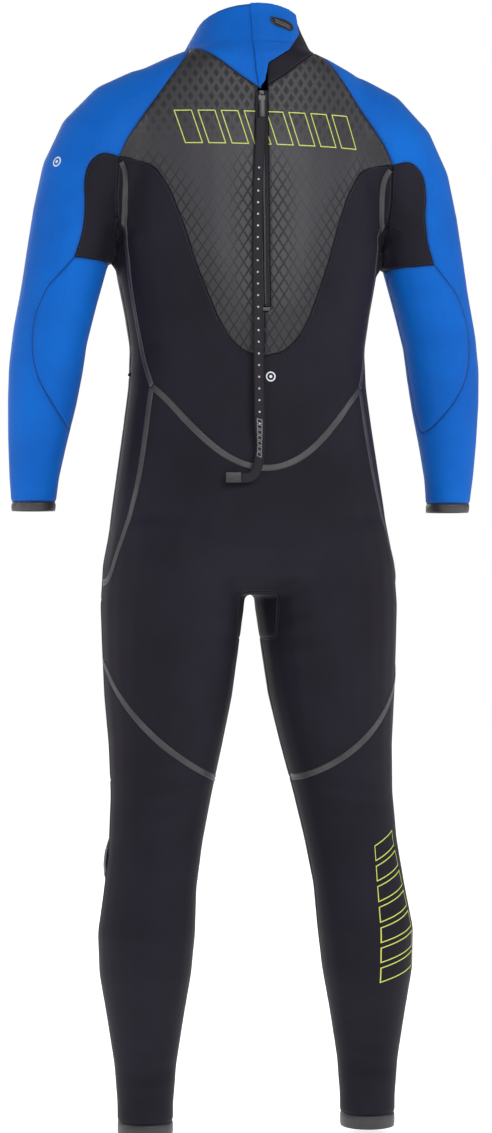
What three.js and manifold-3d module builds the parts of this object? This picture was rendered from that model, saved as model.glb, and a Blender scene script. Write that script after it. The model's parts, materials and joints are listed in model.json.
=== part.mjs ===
// Full-length back-zip wetsuit, held in its worn shape. Millimetres, +Z up.
// The wearer faces -Y and their left side is +X. Heights below are measured from the ankle hems;
// the finished group is then lowered so that its origin is the middle of the neck opening.
import * as THREE from 'three';
import { mergeVertices } from 'three/addons/utils/BufferGeometryUtils.js';
import Module from 'manifold-3d';

const wasm = await Module();
wasm.setup();

// ---------------------------------------------------------------- driving dimensions
const FULL_HEIGHT = 1464; // ankle hems to the back of the collar's rim
const CHEST_WIDTH = 364;
const PATTERN_HEIGHT = 1464; // the size that the section and seam lists below are drawn for
const PATTERN_CHEST = 364;
const WALL = 3.2; // neoprene thickness
const SEAM_GAP = 0.4; // clearance between two panels at a seam
const FIT = 0.35; // clearance of a layer that lies on another
const LINING = 1.4; // smooth-skin seals inside neck and wrists
const TAPE_THICK = 0.9;
const TAPE_WIDTH = 7;
const SIDE_TAPE_WIDTH = 9;
const PAD_THICK = 4; // knee pad
const CUFF_LENGTH = 12;
const HEM_LENGTH = 18;
const ANKLE_LEVEL = 0; // ankle hem rim
const RIM_SLOPE = 0.3; // the rim falls towards the front
const ZIP_LENGTH = 288;
const CHAIN_WIDTH = 2.2; // one row of teeth
const CHAIN_GAP = 1.6; // between the two rows, where the slider's post runs
const ZIP_TAPE_WIDTH = 5;
const CHAIN_THICK = 2.8;
const ZIP_TAPE_THICK = 1.2;
const STOP_LENGTH = 5;
const SLIDER_LENGTH = 13;
const SLIDER_WIDTH = 9;
const SLIDER_PLATE = 1.4;
const PULL_LENGTH = 22;
const PULL_WIDTH = 8;
const LEASH_WIDTH = 13;
const LEASH_THICK = 1.6;
const LEASH_END_LENGTH = 20;
const BAFFLE_WIDTH = 58;
const BAFFLE_THICK = 2;
const FLAP_THICK = 2.3;
const HOOK_THICK = 0.8;
const BADGE_THICK = 1;

// Grading: heights follow the full height, widths and depths follow the chest.
const up = (z) => (z * FULL_HEIGHT) / PATTERN_HEIGHT;
const out = (x) => (x * CHEST_WIDTH) / PATTERN_CHEST;
const line = (points) => points.map(([x, z]) => [out(x), up(z)]);
const sections = (rows) => rows.map(([z, x, y, half, front, back, tilt]) => [
  up(z), out(x), out(y), out(half), out(front), out(back), tilt,
]);

const NECK_LEVEL = up(1464); // top rim of the collar at the back
const RIM_BACK = out(66); // how far behind the middle that is
const COLLAR_SEAM = up(1408); // collar seam at the sides and front
const COLLAR_TIP = up(1352); // lowest point of the collar's V on the back
const ZIP_TOP = up(1350); // upper end of the zip, just under the collar's tip
const WRIST_LEVEL = up(806); // cuff rim
const WAIST_FRONT = up(985); // seam between chest and abdomen panels
const THIGH_FRONT = up(690); // seam between abdomen and thigh panels
const KNEE_FRONT = up(455); // seam between thigh and shin panels
const GUSSET_HALF = out(26);
const GUSSET_LOW = up(640);
const GUSSET_TOP = up(701);
const SPINE_TOP = out(88); // back centre line: distance behind the middle at ZIP_TOP
const SPINE_SLOPE = out(58) / up(1000); // how much further back the spine lies for each mm down

// The straight line of the spine that the zip lies on, and the same in the pattern's own size.
const spineAt = (z) => SPINE_TOP + (ZIP_TOP - z) * SPINE_SLOPE;
const backAt = (z) => 88 + (1350 - z) * 0.058 + 4;

// Sections from top to bottom: [z, x, y, halfWidth, front, back, tilt in degrees]
const TORSO = sections([
  [1428, 0, -4, 40, 42, 52, 0],
  [1412, 0, -4, 84, 68, backAt(1412), 0],
  [1396, 0, -4, 122, 76, backAt(1396), 0],
  [1376, 0, -4, 158, 86, backAt(1376), 0],
  [1346, 0, -4, 176, 98, backAt(1346), 0],
  [1300, 0, -4, 182, 110, backAt(1300), 0],
  [1240, 0, -4, 182, 116, backAt(1240), 0],
  [1180, 0, -4, 180, 116, backAt(1180), 0],
  [1120, 0, -4, 174, 110, backAt(1120), 0],
  [1060, 0, -4, 162, 100, backAt(1060), 0],
  [1010, 0, -2, 156, 94, 104, 0],
  [950, 0, 0, 161, 94, 101, 0],
  [890, 0, 2, 170, 98, 104, 0],
  [830, 0, 4, 178, 103, 113, 0],
  [770, 0, 6, 187, 105, 116, 0],
  [725, 0, 8, 182, 96, 106, 0],
  [696, 0, 10, 120, 60, 66, 0],
]);
const NECK = sections([
  [1500, 0, 8, 58, 60, 60, 0],
  [1464, 0, 6, 62, 62, 64, 0],
  [1440, 0, 2, 70, 64, 74, 0],
  [1412, 0, -2, 86, 68, 84, 0],
  [1388, 0, -4, 98, 70, 86, 0],
]);
const ARM = sections([
  [1362, 96, 0, 34, 48, 50, 62],
  [1340, 134, 0, 50, 58, 60, 55],
  [1308, 172, 0, 61, 64, 65, 43],
  [1262, 205, 0, 63, 64, 66, 26],
  [1208, 224, 0, 59, 60, 62, 17],
  [1150, 238, 0, 55, 58, 60, 14],
  [1090, 251, 0, 51, 54, 57, 14],
  [1030, 264, 0, 49, 51, 54, 10],
  [980, 270, -2, 48, 49, 50, 6],
  [930, 275, -7, 43, 45, 45, 5],
  [870, 281, -15, 35, 37, 37, 3],
  [830, 282, -21, 30.5, 33, 33, 0],
  [806, 282, -25, 29, 32, 32, 0],
  [776, 282, -29, 28, 31, 31, 0],
]);
const LEG = sections([
  [790, 92, 8, 92, 90, 100, 0],
  [740, 98, 9, 96, 97, 106, 0],
  [690, 103, 11, 95, 95, 101, 0],
  [640, 106, 13, 91, 90, 94, 0],
  [580, 109, 15, 86, 84, 86, 0],
  [520, 113, 20, 78, 76, 78, 0],
  [460, 119, 28, 68, 68, 70, 0],
  [400, 127, 36, 64, 64, 62, 0],
  [345, 135, 44, 59, 60, 57, 0],
  [290, 143, 53, 62, 58, 64, 0],
  [240, 147, 58, 63, 56, 66, 0],
  [190, 148, 60, 57, 52, 58, 0],
  [135, 148, 61, 47, 44, 46, 0],
  [80, 148, 61, 39, 39, 39, 0],
  [35, 148, 61, 36, 37, 37, 0],
  [0, 148, 61, 36, 37, 37, 0],
  [-40, 148, 61, 36, 37, 37, 0],
]);
const TORSO_POWER = 2.35; // over 2 is squarer than an ellipse
const LIMB_POWER = 2.05;
// Past the suit on every side: the reach of the shapes that cut it.
const FRONT_TO_BACK = 400;
const REACH = 600;
const SKY = 2200;
const BELOW = -300;
const SIDE_SEAM = [[1600, 0], [1000, 0], [760, 6], [520, 20], [290, 53], [-100, 61]]
  .map(([z, y]) => [up(z), out(y)]);

// Seams on the wearer's left; each is mirrored for the right. Points are [x, z].
const RAGLAN = line([[83, 1470], [83, 1411], [112, 1372], [145, 1325], [172, 1286], [182, 1262]]);
const ARMHOLE = line([[182, 1262], [184, 1215], [181, 1168], [183, 1100], [192, 1040], [204, 780]]);
const BACK_PANEL_EDGE = line([
  [182, 1262], [158, 1261], [136, 1249], [118, 1219], [101, 1172], [88, 1128],
  [74, 1090], [60, 1054], [45, 1028], [25, 1010], [0, 1005],
]);
const UNDERARM = line([
  [182, 1262], [206, 1268], [222, 1254], [228, 1236], [227, 1190], [230, 1162], [240, 1132],
]);
const ELBOW_ARC = line([
  [240, 1132], [274, 1094], [288, 1062], [293, 1035], [292, 1000], [284, 972], [268, 946], [246, 918],
  [226, 900], [205, 890],
]);
const SIDE_TAPE_LINE = line([[172, 1256], [170, 1166], [163, 1099], [155, 1054], [146, 998], [139, 967]]);
const LUMBAR_LINE = line([
  [139, 967], [122, 949], [102, 924], [80, 900], [60, 882], [38, 868], [14, 860], [0, 858],
]);
const HIP_LINE = line([
  [139, 967], [148, 900], [153, 868], [160, 832], [167, 802], [176, 772], [185, 744], [192, 712],
]);
const KNEE_LINE = line([
  [300, 622], [196, 612], [188, 580], [174, 553], [157, 530], [136, 508], [113, 490], [88, 474], [58, 459],
  [0, 440],
]);


// Neck closure, seen from behind: outlines of the flap, its badge and its fastening pads, [x, z].
const FLAP = line([
  [13, 1500], [11, 1414], [7, 1372], [3, 1353], [-4, 1362], [-9, 1386], [-38, 1405], [-57, 1430], [-54, 1500],
]);
const BADGE = line([
  [-14, 1448], [-14, 1440], [-20, 1436], [-42, 1431], [-48, 1435], [-46, 1442], [-36, 1446],
]);
const HOOK_PAD = line([[-12, 1400], [-30, 1410], [-46, 1426], [-46, 1434], [-12, 1434]]);
const LOOP_PAD = line([[-12, 1396], [-32, 1406], [-52, 1424], [-52, 1438], [-12, 1438]]);
const UNDERLAP_START = out(20); // how far behind the middle the underlap begins
const SEAL_HEIGHT = 28;
const WRIST_SEAL_LENGTH = 40;
const PAD_INSET = 4; // the pads stay this far in front of the side seams
const KNEE_PAD = { x: out(146), z: up(346), half: 52, tall: 108 };
const PULL_CLEAR = 0.4; // the teeth lie this far below the surface of the back
const PULL_THICK = 1.4;
const SLIDER_START = 7; // slider's closed place, below the top of the zip
const BAFFLE_STITCH = 8; // edge of the baffle that is sewn to the panel
const BAFFLE_ROOM = 3.4; // space behind the panels in which the slider's inner plate runs
const BAFFLE_SPARE = 12;
const LEASH_ROUTE = [
  [2, 3.1, 36], [3, 3.3, 60], [5, 3.4, 90], [7, 3.5, 130], [8, 3.6, 175], [9, 3.6, 220], [9, 3.6, 265],
  [9, 3.6, 310], [9, 3.6, 350], [9, 3.6, 385], [9, 3.6, 420], [9, 3.7, 450], [10, 4.0, 474], [13, 4.6, 490],
  [19, 5.2, 501], [27, 5.4, 504], [34, 5.4, 504],
];

// Rows around and along each limb, outside and inside.
const FINE = { torso: [36, 18], arm: [20, 15], leg: [22, 15] };
const COARSE = { torso: [20, 11], arm: [12, 9], leg: [14, 9] };
const NECK_ROWS = [28, 6];

const COLOURS = {
  blue: [0x0068c8, 0.75, 0],
  black: [0x262430, 0.8, 0],
  skin: [0x454347, 0.55, 0],
  tape: [0x47454a, 0.45, 0],
  rubber: [0x2a2830, 0.5, 0],
  zip: [0x121216, 0.4, 0],
  web: [0x37353c, 0.8, 0],
  badge: [0x1c1c20, 0.35, 0],
};

// ---------------------------------------------------------------- geometry helpers
const group = new THREE.Group();

function solid(geometry) {
  const bare = geometry.clone();
  bare.deleteAttribute('normal');
  bare.deleteAttribute('uv');
  const merged = mergeVertices(bare, 1e-4);
  const mesh = new wasm.Mesh({
    numProp: 3,
    vertProperties: new Float32Array(merged.attributes.position.array),
    triVerts: new Uint32Array(merged.index.array),
  });
  return new wasm.Manifold(mesh);
}

function add(name, colour, shape) {
  const mesh = shape.getMesh();
  const geometry = new THREE.BufferGeometry();
  geometry.setAttribute('position', new THREE.BufferAttribute(new Float32Array(mesh.vertProperties), 3));
  geometry.setIndex(new THREE.BufferAttribute(new Uint32Array(mesh.triVerts), 1));
  const [color, roughness, metalness] = COLOURS[colour];
  const node = new THREE.Mesh(geometry, new THREE.MeshStandardMaterial({ color, roughness, metalness }));
  node.name = name;
  group.add(node);
}

function flipped(geometry) {
  const copy = geometry.clone();
  copy.scale(-1, 1, 1);
  const index = copy.index;
  for (let i = 0; i < index.count; i += 3) {
    const keep = index.getX(i);
    index.setX(i, index.getX(i + 1));
    index.setX(i + 1, keep);
  }
  return copy;
}

// A closed loft through the sections, moved outwards by grow.
function loft(sections, grow, around, along, power) {
  const places = Float32Array.from(sections.map((_, i) => i));
  const curve = new THREE.CubicInterpolant(places, Float32Array.from(sections.flat()), 7);
  const geometry = new THREE.CylinderGeometry(1, 1, 1, around, along);
  const position = geometry.attributes.position;
  for (let i = 0; i < position.count; i += 1) {
    const down = THREE.MathUtils.clamp(0.5 - position.getY(i), 0, 1);
    const [z, x, y, half, front, back, tilt] = curve.evaluate(down * (sections.length - 1));
    const radius = Math.hypot(position.getX(i), position.getZ(i));
    const turn = Math.atan2(position.getX(i), position.getZ(i));
    const c = Math.cos(turn);
    const s = Math.sin(turn);
    const away = radius < 0.5 ? 0 : (Math.abs(c) ** power + Math.abs(s) ** power) ** (-1 / power);
    const across = away * c * (half + grow);
    const depth = away * s * ((s > 0 ? back : front) + grow);
    const lean = THREE.MathUtils.degToRad(tilt);
    const floor = down > 0.999 ? grow : 0; // the closed lower end keeps its wall too
    position.setXYZ(i, x + across * Math.cos(lean), y + depth, z + across * Math.sin(lean) - floor);
  }
  return geometry;
}

const trunkLoft = (grow, cut) => solid(loft(TORSO, grow, ...cut.torso, TORSO_POWER));
const armLoft = (grow, cut) => loft(ARM, grow, ...cut.arm, LIMB_POWER);
const legLoft = (grow, cut) => loft(LEG, grow, ...cut.leg, LIMB_POWER);

// The whole body surface moved outwards by grow, as one filled solid.
function body(grow, cut) {
  const arm = armLoft(grow, cut);
  const leg = legLoft(grow, cut);
  const limbs = [arm, flipped(arm), leg, flipped(leg)];
  return limbs.reduce((sum, limb) => sum.add(solid(limb)), trunkLoft(grow, cut)).add(neck(grow));
}

function neck(grow) {
  return solid(loft(NECK, grow, ...NECK_ROWS, 2));
}

// A prism with its outline in X and Z, running through in Y from y0 to y1.
function prism(points, y0 = -FRONT_TO_BACK, y1 = FRONT_TO_BACK) {
  const shape = new THREE.Shape(points.map(([x, z]) => new THREE.Vector2(x, z)));
  const geometry = new THREE.ExtrudeGeometry(shape, { depth: y1 - y0, bevelEnabled: false, steps: 1 });
  geometry.rotateX(Math.PI / 2);
  geometry.translate(0, y1, 0);
  return solid(geometry);
}

const mirrorX = (points) => points.map(([x, z]) => [-x, z]).reverse();

// An outline of even width along a line of points.
function ribbonOutline(points, width) {
  const sides = [[], []];
  points.forEach(([x, z], i) => {
    const [x0, z0] = points[Math.max(i - 1, 0)];
    const [x1, z1] = points[Math.min(i + 1, points.length - 1)];
    const length = Math.hypot(x1 - x0, z1 - z0);
    const nx = (-(z1 - z0) / length) * (width / 2);
    const nz = ((x1 - x0) / length) * (width / 2);
    sides[0].push([x + nx, z + nz]);
    sides[1].push([x - nx, z - nz]);
  });
  return [...sides[0], ...sides[1].reverse()];
}

const box = (x0, x1, z0, z1) => [[x0, z0], [x1, z0], [x1, z1], [x0, z1]];

// A prism with its outline in Y and Z, running from x0 to x1.
function crossPrism(points, x0 = -REACH, x1 = REACH) {
  const shape = new THREE.Shape(points.map(([y, z]) => new THREE.Vector2(y, z)));
  const geometry = new THREE.ExtrudeGeometry(shape, { depth: x1 - x0, bevelEnabled: false, steps: 1 });
  geometry.translate(0, 0, x0);
  geometry.applyMatrix4(new THREE.Matrix4().set(0, 0, 1, 0, 1, 0, 0, 0, 0, 1, 0, 0, 0, 0, 0, 1));
  return solid(geometry);
}

// Half of the space, in front of or behind the side seams.
function halfSpace(behind, gap) {
  const edge = SIDE_SEAM.map(([z, y]) => [y + (behind ? gap : -gap) / 2, z]);
  const far = behind ? FRONT_TO_BACK : -FRONT_TO_BACK;
  return crossPrism([...edge, [far, edge.at(-1)[1]], [far, edge[0][1]]]);
}

// ---------------------------------------------------------------- the shell of neoprene
const outer = body(0, FINE);
const inner = body(-WALL, COARSE);
// The neck rim slopes down to the front.
const rim = (y) => NECK_LEVEL + (y - RIM_BACK) * RIM_SLOPE;
const underRim = crossPrism([
  [-FRONT_TO_BACK, ANKLE_LEVEL], [FRONT_TO_BACK, ANKLE_LEVEL],
  [FRONT_TO_BACK, rim(FRONT_TO_BACK)], [-FRONT_TO_BACK, rim(-FRONT_TO_BACK)],
]);
const armEnds = prism(box(-REACH, -out(215), BELOW, WRIST_LEVEL))
  .add(prism(box(out(215), REACH, BELOW, WRIST_LEVEL)));
const shell = outer.subtract(inner).intersect(underRim).subtract(armEnds);

const backHalf = halfSpace(true, SEAM_GAP);
const frontHalf = halfSpace(false, SEAM_GAP);
const knives = [RAGLAN, ARMHOLE].flatMap((line) => [line, mirrorX(line)])
  .map((line) => prism(ribbonOutline(line, SEAM_GAP)));
const cutShell = knives.reduce((rest, knife) => rest.subtract(knife), shell);

const sleeveOutline = [...RAGLAN, ...ARMHOLE.slice(1), [REACH, up(780)], [REACH, up(1470)]];
const leftSleeveZone = prism(sleeveOutline);
const rightSleeveZone = prism(mirrorX(sleeveOutline));
const trunk = cutShell.subtract(leftSleeveZone).subtract(rightSleeveZone);

// Collar zone: a V on the back, level at the front.
const collarEdge = line([[0, 1352], [30, 1371], [60, 1394], [84, 1411], [400, 1411]]);
const collarSeam = [...mirrorX(collarEdge).slice(0, -1), ...collarEdge];
const collarBackZone = prism([...collarSeam, [out(400), SKY], [-out(400), SKY]], 0);
const collarKnife = prism(ribbonOutline(collarSeam, SEAM_GAP), 0);
const collarFrontZone = prism(box(-REACH, REACH, COLLAR_SEAM, SKY), -FRONT_TO_BACK, 0);

// ---------------------------------------------------------------- back of the trunk
const zipHalfSlot = CHAIN_GAP / 2 + CHAIN_WIDTH + FIT + ZIP_TAPE_WIDTH + FIT;
const slot = prism(box(-zipHalfSlot, zipHalfSlot, ZIP_TOP - ZIP_LENGTH, SKY), 0);
const midKnife = prism(box(-SEAM_GAP / 2, SEAM_GAP / 2, up(990), SKY), 0);
const panelEdge = [...BACK_PANEL_EDGE, ...mirrorX(BACK_PANEL_EDGE).slice(1)];
const panelKnife = prism(ribbonOutline(panelEdge, SEAM_GAP), 0);
const panelZone = prism([
  ...panelEdge, [-REACH, up(1262)], [-REACH, SKY], [REACH, SKY], [REACH, up(1262)],
], 0);
const sideLine = [...SIDE_TAPE_LINE, ...HIP_LINE.slice(1)];
const sideKnives = [sideLine, mirrorX(sideLine)].map((line) => prism(ribbonOutline(line, SEAM_GAP), 0));
const lumbarLine = [...LUMBAR_LINE, ...mirrorX(LUMBAR_LINE).slice(1)];
const lumbarKnife = prism(ribbonOutline(lumbarLine, SEAM_GAP), 0);

const trunkBack = trunk.intersect(backHalf);
const upperBack = trunkBack.intersect(panelZone).subtract(collarBackZone).subtract(collarKnife)
  .subtract(panelKnife).subtract(slot).subtract(midKnife);
const leftOfMiddle = prism(box(0, REACH, BELOW, SKY));
add('back_panel_left', 'skin', upperBack.intersect(leftOfMiddle));
add('back_panel_right', 'skin', upperBack.subtract(leftOfMiddle));

const lowerBackTop = trunkBack.subtract(panelZone).subtract(panelKnife);
const sideOutline = [...sideLine, [REACH, up(712)], [REACH, up(1254)]];
const sideZones = [prism(sideOutline), prism(mirrorX(sideOutline))];
const sideRest = sideKnives.reduce((rest, knife) => rest.subtract(knife), lowerBackTop);
const centreZone = prism([
  ...lumbarLine, [-REACH, up(967)], [-REACH, up(1300)], [REACH, up(1300)], [REACH, up(967)],
]);
add('lower_back_panel', 'black',
  sideRest.subtract(sideZones[0]).subtract(sideZones[1]).intersect(centreZone)
    .subtract(lumbarKnife).subtract(slot));
add('side_panel_left', 'black', sideRest.intersect(sideZones[0]));
add('side_panel_right', 'black', sideRest.intersect(sideZones[1]));

const kneeRight = mirrorX(KNEE_LINE);
const kneeLine = [...KNEE_LINE, ...kneeRight.slice(1)];
const kneeKnife = prism(ribbonOutline(kneeLine, SEAM_GAP));
const belowKneeLine = prism([...kneeLine, [-out(300), BELOW], [out(300), BELOW]]);
const gussetZone = prism(box(-GUSSET_HALF, GUSSET_HALF, GUSSET_LOW, GUSSET_TOP));
const gussetRoom = prism(box(
  -GUSSET_HALF - SEAM_GAP, GUSSET_HALF + SEAM_GAP, GUSSET_LOW - SEAM_GAP, GUSSET_TOP + SEAM_GAP));
add('seat_panel', 'black', sideRest.subtract(sideZones[0]).subtract(sideZones[1]).subtract(centreZone)
  .subtract(lumbarKnife).subtract(belowKneeLine).subtract(kneeKnife)
  .subtract(gussetRoom));

// ---------------------------------------------------------------- front of the trunk
const trunkFront = trunk.intersect(frontHalf);
const band = (z0, z1) => prism(box(-REACH, REACH, z0 + SEAM_GAP / 2, z1 - SEAM_GAP / 2));
const frontBody = trunkFront.subtract(gussetRoom);
add('chest_panel', 'black', trunkFront.intersect(band(WAIST_FRONT, COLLAR_SEAM)));
add('abdomen_panel', 'black', frontBody.intersect(band(THIGH_FRONT, WAIST_FRONT)));
add('crotch_gusset', 'black', trunk.intersect(gussetZone));

const calfBack = trunkBack.intersect(belowKneeLine).subtract(kneeKnife);
const hemZone = band(ANKLE_LEVEL - SEAM_GAP, HEM_LENGTH);
const halves = { left: (s) => s.intersect(leftOfMiddle), right: (s) => s.subtract(leftOfMiddle) };
for (const [side, ofSide] of Object.entries(halves)) {
  add(`thigh_panel_${side}`, 'black', ofSide(frontBody.intersect(band(KNEE_FRONT, THIGH_FRONT))));
  add(`shin_panel_${side}`, 'black', ofSide(trunkFront.intersect(band(HEM_LENGTH, KNEE_FRONT))));
  add(`calf_panel_${side}`, 'black', ofSide(calfBack.intersect(band(HEM_LENGTH, up(700)))));
  add(`ankle_hem_${side}`, 'rubber', ofSide(trunk.intersect(hemZone)));
}

// ---------------------------------------------------------------- sleeves
const underarmEnd = [out(150), up(1126)];
const underarmOutline = [...UNDERARM, underarmEnd, [out(150), up(1262)]];
const elbowOutline = [...ELBOW_ARC, ...line([[192, 1040], [183, 1100], [193, 1128]])];
const cuffTop = WRIST_LEVEL + CUFF_LENGTH;
const cuffZone = band(BELOW, cuffTop);
for (const [side, mirrored, zone] of [['left', false, leftSleeveZone], ['right', true, rightSleeveZone]]) {
  const place = (points) => (mirrored ? mirrorX(points) : points);
  const knife = (points, y0) => prism(ribbonOutline(place(points), SEAM_GAP), y0);
  const whole = cutShell.intersect(zone).subtract(knife([...UNDERARM, underarmEnd]))
    .subtract(knife(ELBOW_ARC, 0));
  const underarm = prism(place(underarmOutline));
  const elbow = prism(place(elbowOutline), 0);
  add(`underarm_panel_${side}`, 'black', whole.intersect(underarm));
  add(`elbow_panel_${side}`, 'blue', whole.subtract(underarm).intersect(elbow)
    .subtract(prism(box(-REACH, REACH, BELOW, SKY), -SEAM_GAP, SEAM_GAP)));
  add(`sleeve_${side}`, 'blue', whole.subtract(underarm).subtract(elbow).subtract(
    band(cuffTop - 2 * SEAM_GAP, cuffTop + SEAM_GAP)).intersect(band(cuffTop, SKY)));
  add(`cuff_${side}`, 'rubber', whole.intersect(cuffZone));
}

// ---------------------------------------------------------------- collar and neck closure
const collarZone = collarBackZone.add(collarFrontZone);
const underlapZone = prism(box(-REACH, -zipHalfSlot, BELOW, SKY), UNDERLAP_START);
const underlapRoom = prism(
  box(-REACH, -zipHalfSlot + SEAM_GAP, BELOW, SKY), UNDERLAP_START - SEAM_GAP);
const collarShell = trunk.intersect(collarZone).subtract(collarKnife)
  .subtract(prism(
    box(-REACH, REACH, COLLAR_SEAM - SEAM_GAP, COLLAR_SEAM + SEAM_GAP / 2), -FRONT_TO_BACK, 0));
const collarOpening = prism(box(-zipHalfSlot, SEAM_GAP, BELOW, SKY), 0);
add('collar', 'blue', collarShell.subtract(underlapRoom).subtract(collarOpening));
add('collar_underlap', 'black', collarShell.intersect(underlapZone));

// Layers over the back of the neck, each FIT clear of the one below it.
const trunkSkin = (grow) => trunkLoft(grow, FINE).add(neck(grow));
const layer = (from, thick) => trunkSkin(from + thick).subtract(trunkSkin(from)).intersect(underRim);
const loopStart = FIT;
const hookStart = loopStart + HOOK_THICK + FIT;
const flapStart = hookStart + HOOK_THICK + FIT;
const badgeStart = flapStart + FLAP_THICK + FIT;
add('loop_pad', 'web', layer(loopStart, HOOK_THICK).intersect(prism(LOOP_PAD, 0)));
add('hook_pad', 'web', layer(hookStart, HOOK_THICK).intersect(prism(HOOK_PAD, 0)));
add('collar_flap', 'blue', layer(flapStart, FLAP_THICK).intersect(prism(FLAP, 0)));
add('flap_badge', 'badge', layer(badgeStart, BADGE_THICK).intersect(prism(BADGE, 0)));

const sealOuter = neck(-WALL - FIT);
const sealInner = neck(-WALL - FIT - LINING);
const sealZone = underRim.subtract(underRim.translate([0, 0, -SEAL_HEIGHT]))
  .subtract(prism(box(-SEAM_GAP, SEAM_GAP, BELOW, SKY), 0));
add('neck_seal', 'rubber', sealOuter.subtract(sealInner).intersect(sealZone));

// ---------------------------------------------------------------- wrist seals
const wrist = (grow) => solid(armLoft(grow, COARSE));
const wristRing = wrist(-WALL - FIT).subtract(wrist(-WALL - FIT - LINING))
  .intersect(prism(box(0, REACH, WRIST_LEVEL, WRIST_LEVEL + WRIST_SEAL_LENGTH)));
add('wrist_seal_left', 'rubber', wristRing);
add('wrist_seal_right', 'rubber', wristRing.mirror([1, 0, 0]));

// ---------------------------------------------------------------- liquid tapes over the seams
const tapeLayer = body(FIT + TAPE_THICK, FINE).subtract(body(FIT, FINE)).intersect(backHalf);
const lumbarRoom = prism(ribbonOutline(lumbarLine, TAPE_WIDTH + 2 * FIT), 0);
add('lumbar_tape', 'tape', tapeLayer.intersect(prism(ribbonOutline(lumbarLine, TAPE_WIDTH), 0)));
for (const [side, mirrored] of [['left', false], ['right', true]]) {
  const place = (points) => (mirrored ? mirrorX(points) : points);
  const strip = (points, width) => tapeLayer.intersect(prism(ribbonOutline(place(points), width), 0));
  add(`side_tape_${side}`, 'tape', strip(SIDE_TAPE_LINE, SIDE_TAPE_WIDTH).subtract(lumbarRoom));
  add(`hip_tape_${side}`, 'tape', strip(HIP_LINE, TAPE_WIDTH).subtract(lumbarRoom)
    .subtract(prism(ribbonOutline(place(SIDE_TAPE_LINE), SIDE_TAPE_WIDTH + 2 * FIT), 0)));
  add(`knee_tape_${side}`, 'tape', strip(KNEE_LINE.slice(0, -1), TAPE_WIDTH));
}

// ---------------------------------------------------------------- knee pads
const padShape = new THREE.EllipseCurve(KNEE_PAD.x, KNEE_PAD.z, KNEE_PAD.half, KNEE_PAD.tall / 2)
  .getPoints(20).slice(0, -1).map((point) => [point.x, point.y]);
const pads = body(FIT + PAD_THICK, FINE).subtract(body(FIT, FINE)).intersect(halfSpace(false, PAD_INSET));
add('knee_pad_left', 'rubber', pads.intersect(prism(padShape)));
add('knee_pad_right', 'rubber', pads.intersect(prism(mirrorX(padShape))));

// ---------------------------------------------------------------- zip, on the straight line of the spine
// In this frame -Z runs down the zip and +Y stands out from the back.
const zip = new THREE.Group();
zip.position.set(0, spineAt(ZIP_TOP), ZIP_TOP);
zip.rotation.x = Math.atan(SPINE_SLOPE);
group.add(zip);

function addPlain(parent, name, colour, geometry) {
  const [color, roughness, metalness] = COLOURS[colour];
  const node = new THREE.Mesh(geometry, new THREE.MeshStandardMaterial({ color, roughness, metalness }));
  node.name = name;
  parent.add(node);
  return node;
}

function block(x0, x1, y0, y1, z0, z1) {
  const geometry = new THREE.BoxGeometry(x1 - x0, y1 - y0, z1 - z0);
  geometry.translate((x0 + x1) / 2, (y0 + y1) / 2, (z0 + z1) / 2);
  return geometry;
}

const chainIn = CHAIN_GAP / 2;
const chainOut = chainIn + CHAIN_WIDTH;
const chainTop = -PULL_CLEAR;
const chainLow = chainTop - CHAIN_THICK;
const tapeIn = chainOut + FIT;
const tapeMid = (chainTop + chainLow) / 2;
const zipFoot = -ZIP_LENGTH + STOP_LENGTH + FIT;
for (const [side, sign] of [['left', 1], ['right', -1]]) {
  const span = (a, b) => [Math.min(sign * a, sign * b), Math.max(sign * a, sign * b)];
  addPlain(zip, `zip_chain_${side}`, 'zip', block(
    ...span(chainIn, chainOut), chainLow, chainTop, zipFoot, -STOP_LENGTH - FIT));
  addPlain(zip, `zip_tape_${side}`, 'web', block(...span(tapeIn, tapeIn + ZIP_TAPE_WIDTH),
    tapeMid - ZIP_TAPE_THICK / 2, tapeMid + ZIP_TAPE_THICK / 2, zipFoot, -FIT));
}
addPlain(zip, 'zip_top_stop', 'zip', block(-chainOut, chainOut, chainLow, chainTop, -STOP_LENGTH, -FIT));
addPlain(zip, 'zip_bottom_stop', 'zip', block(
  -zipHalfSlot + FIT, zipHalfSlot - FIT, chainLow, chainTop, -ZIP_LENGTH + FIT, zipFoot - FIT));

// The slider: an outer and an inner plate joined by the post that runs between the two rows.
const plateLow = chainTop + FIT;
const underTop = chainLow - FIT;
const half = SLIDER_WIDTH / 2;
const post = CHAIN_GAP / 2 - FIT;
const sliderOutline = new THREE.Shape([
  [-half, plateLow], [-half, plateLow + SLIDER_PLATE], [half, plateLow + SLIDER_PLATE], [half, plateLow],
  [post, plateLow], [post, underTop], [half, underTop], [half, underTop - SLIDER_PLATE],
  [-half, underTop - SLIDER_PLATE], [-half, underTop], [-post, underTop], [-post, plateLow],
].map(([x, y]) => new THREE.Vector2(x, y)).reverse());
const sliderBody = new THREE.ExtrudeGeometry(sliderOutline, { depth: SLIDER_LENGTH, bevelEnabled: false });
sliderBody.translate(0, 0, -SLIDER_START - SLIDER_LENGTH);
addPlain(zip, 'zip_slider', 'zip', sliderBody);

const pullLow = plateLow + SLIDER_PLATE + FIT;
const pullTop = -SLIDER_START - SLIDER_LENGTH / 2;
addPlain(zip, 'pull_tab', 'zip', block(
  -PULL_WIDTH / 2, PULL_WIDTH / 2, pullLow, pullLow + PULL_THICK, pullTop - PULL_LENGTH, pullTop));

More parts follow.
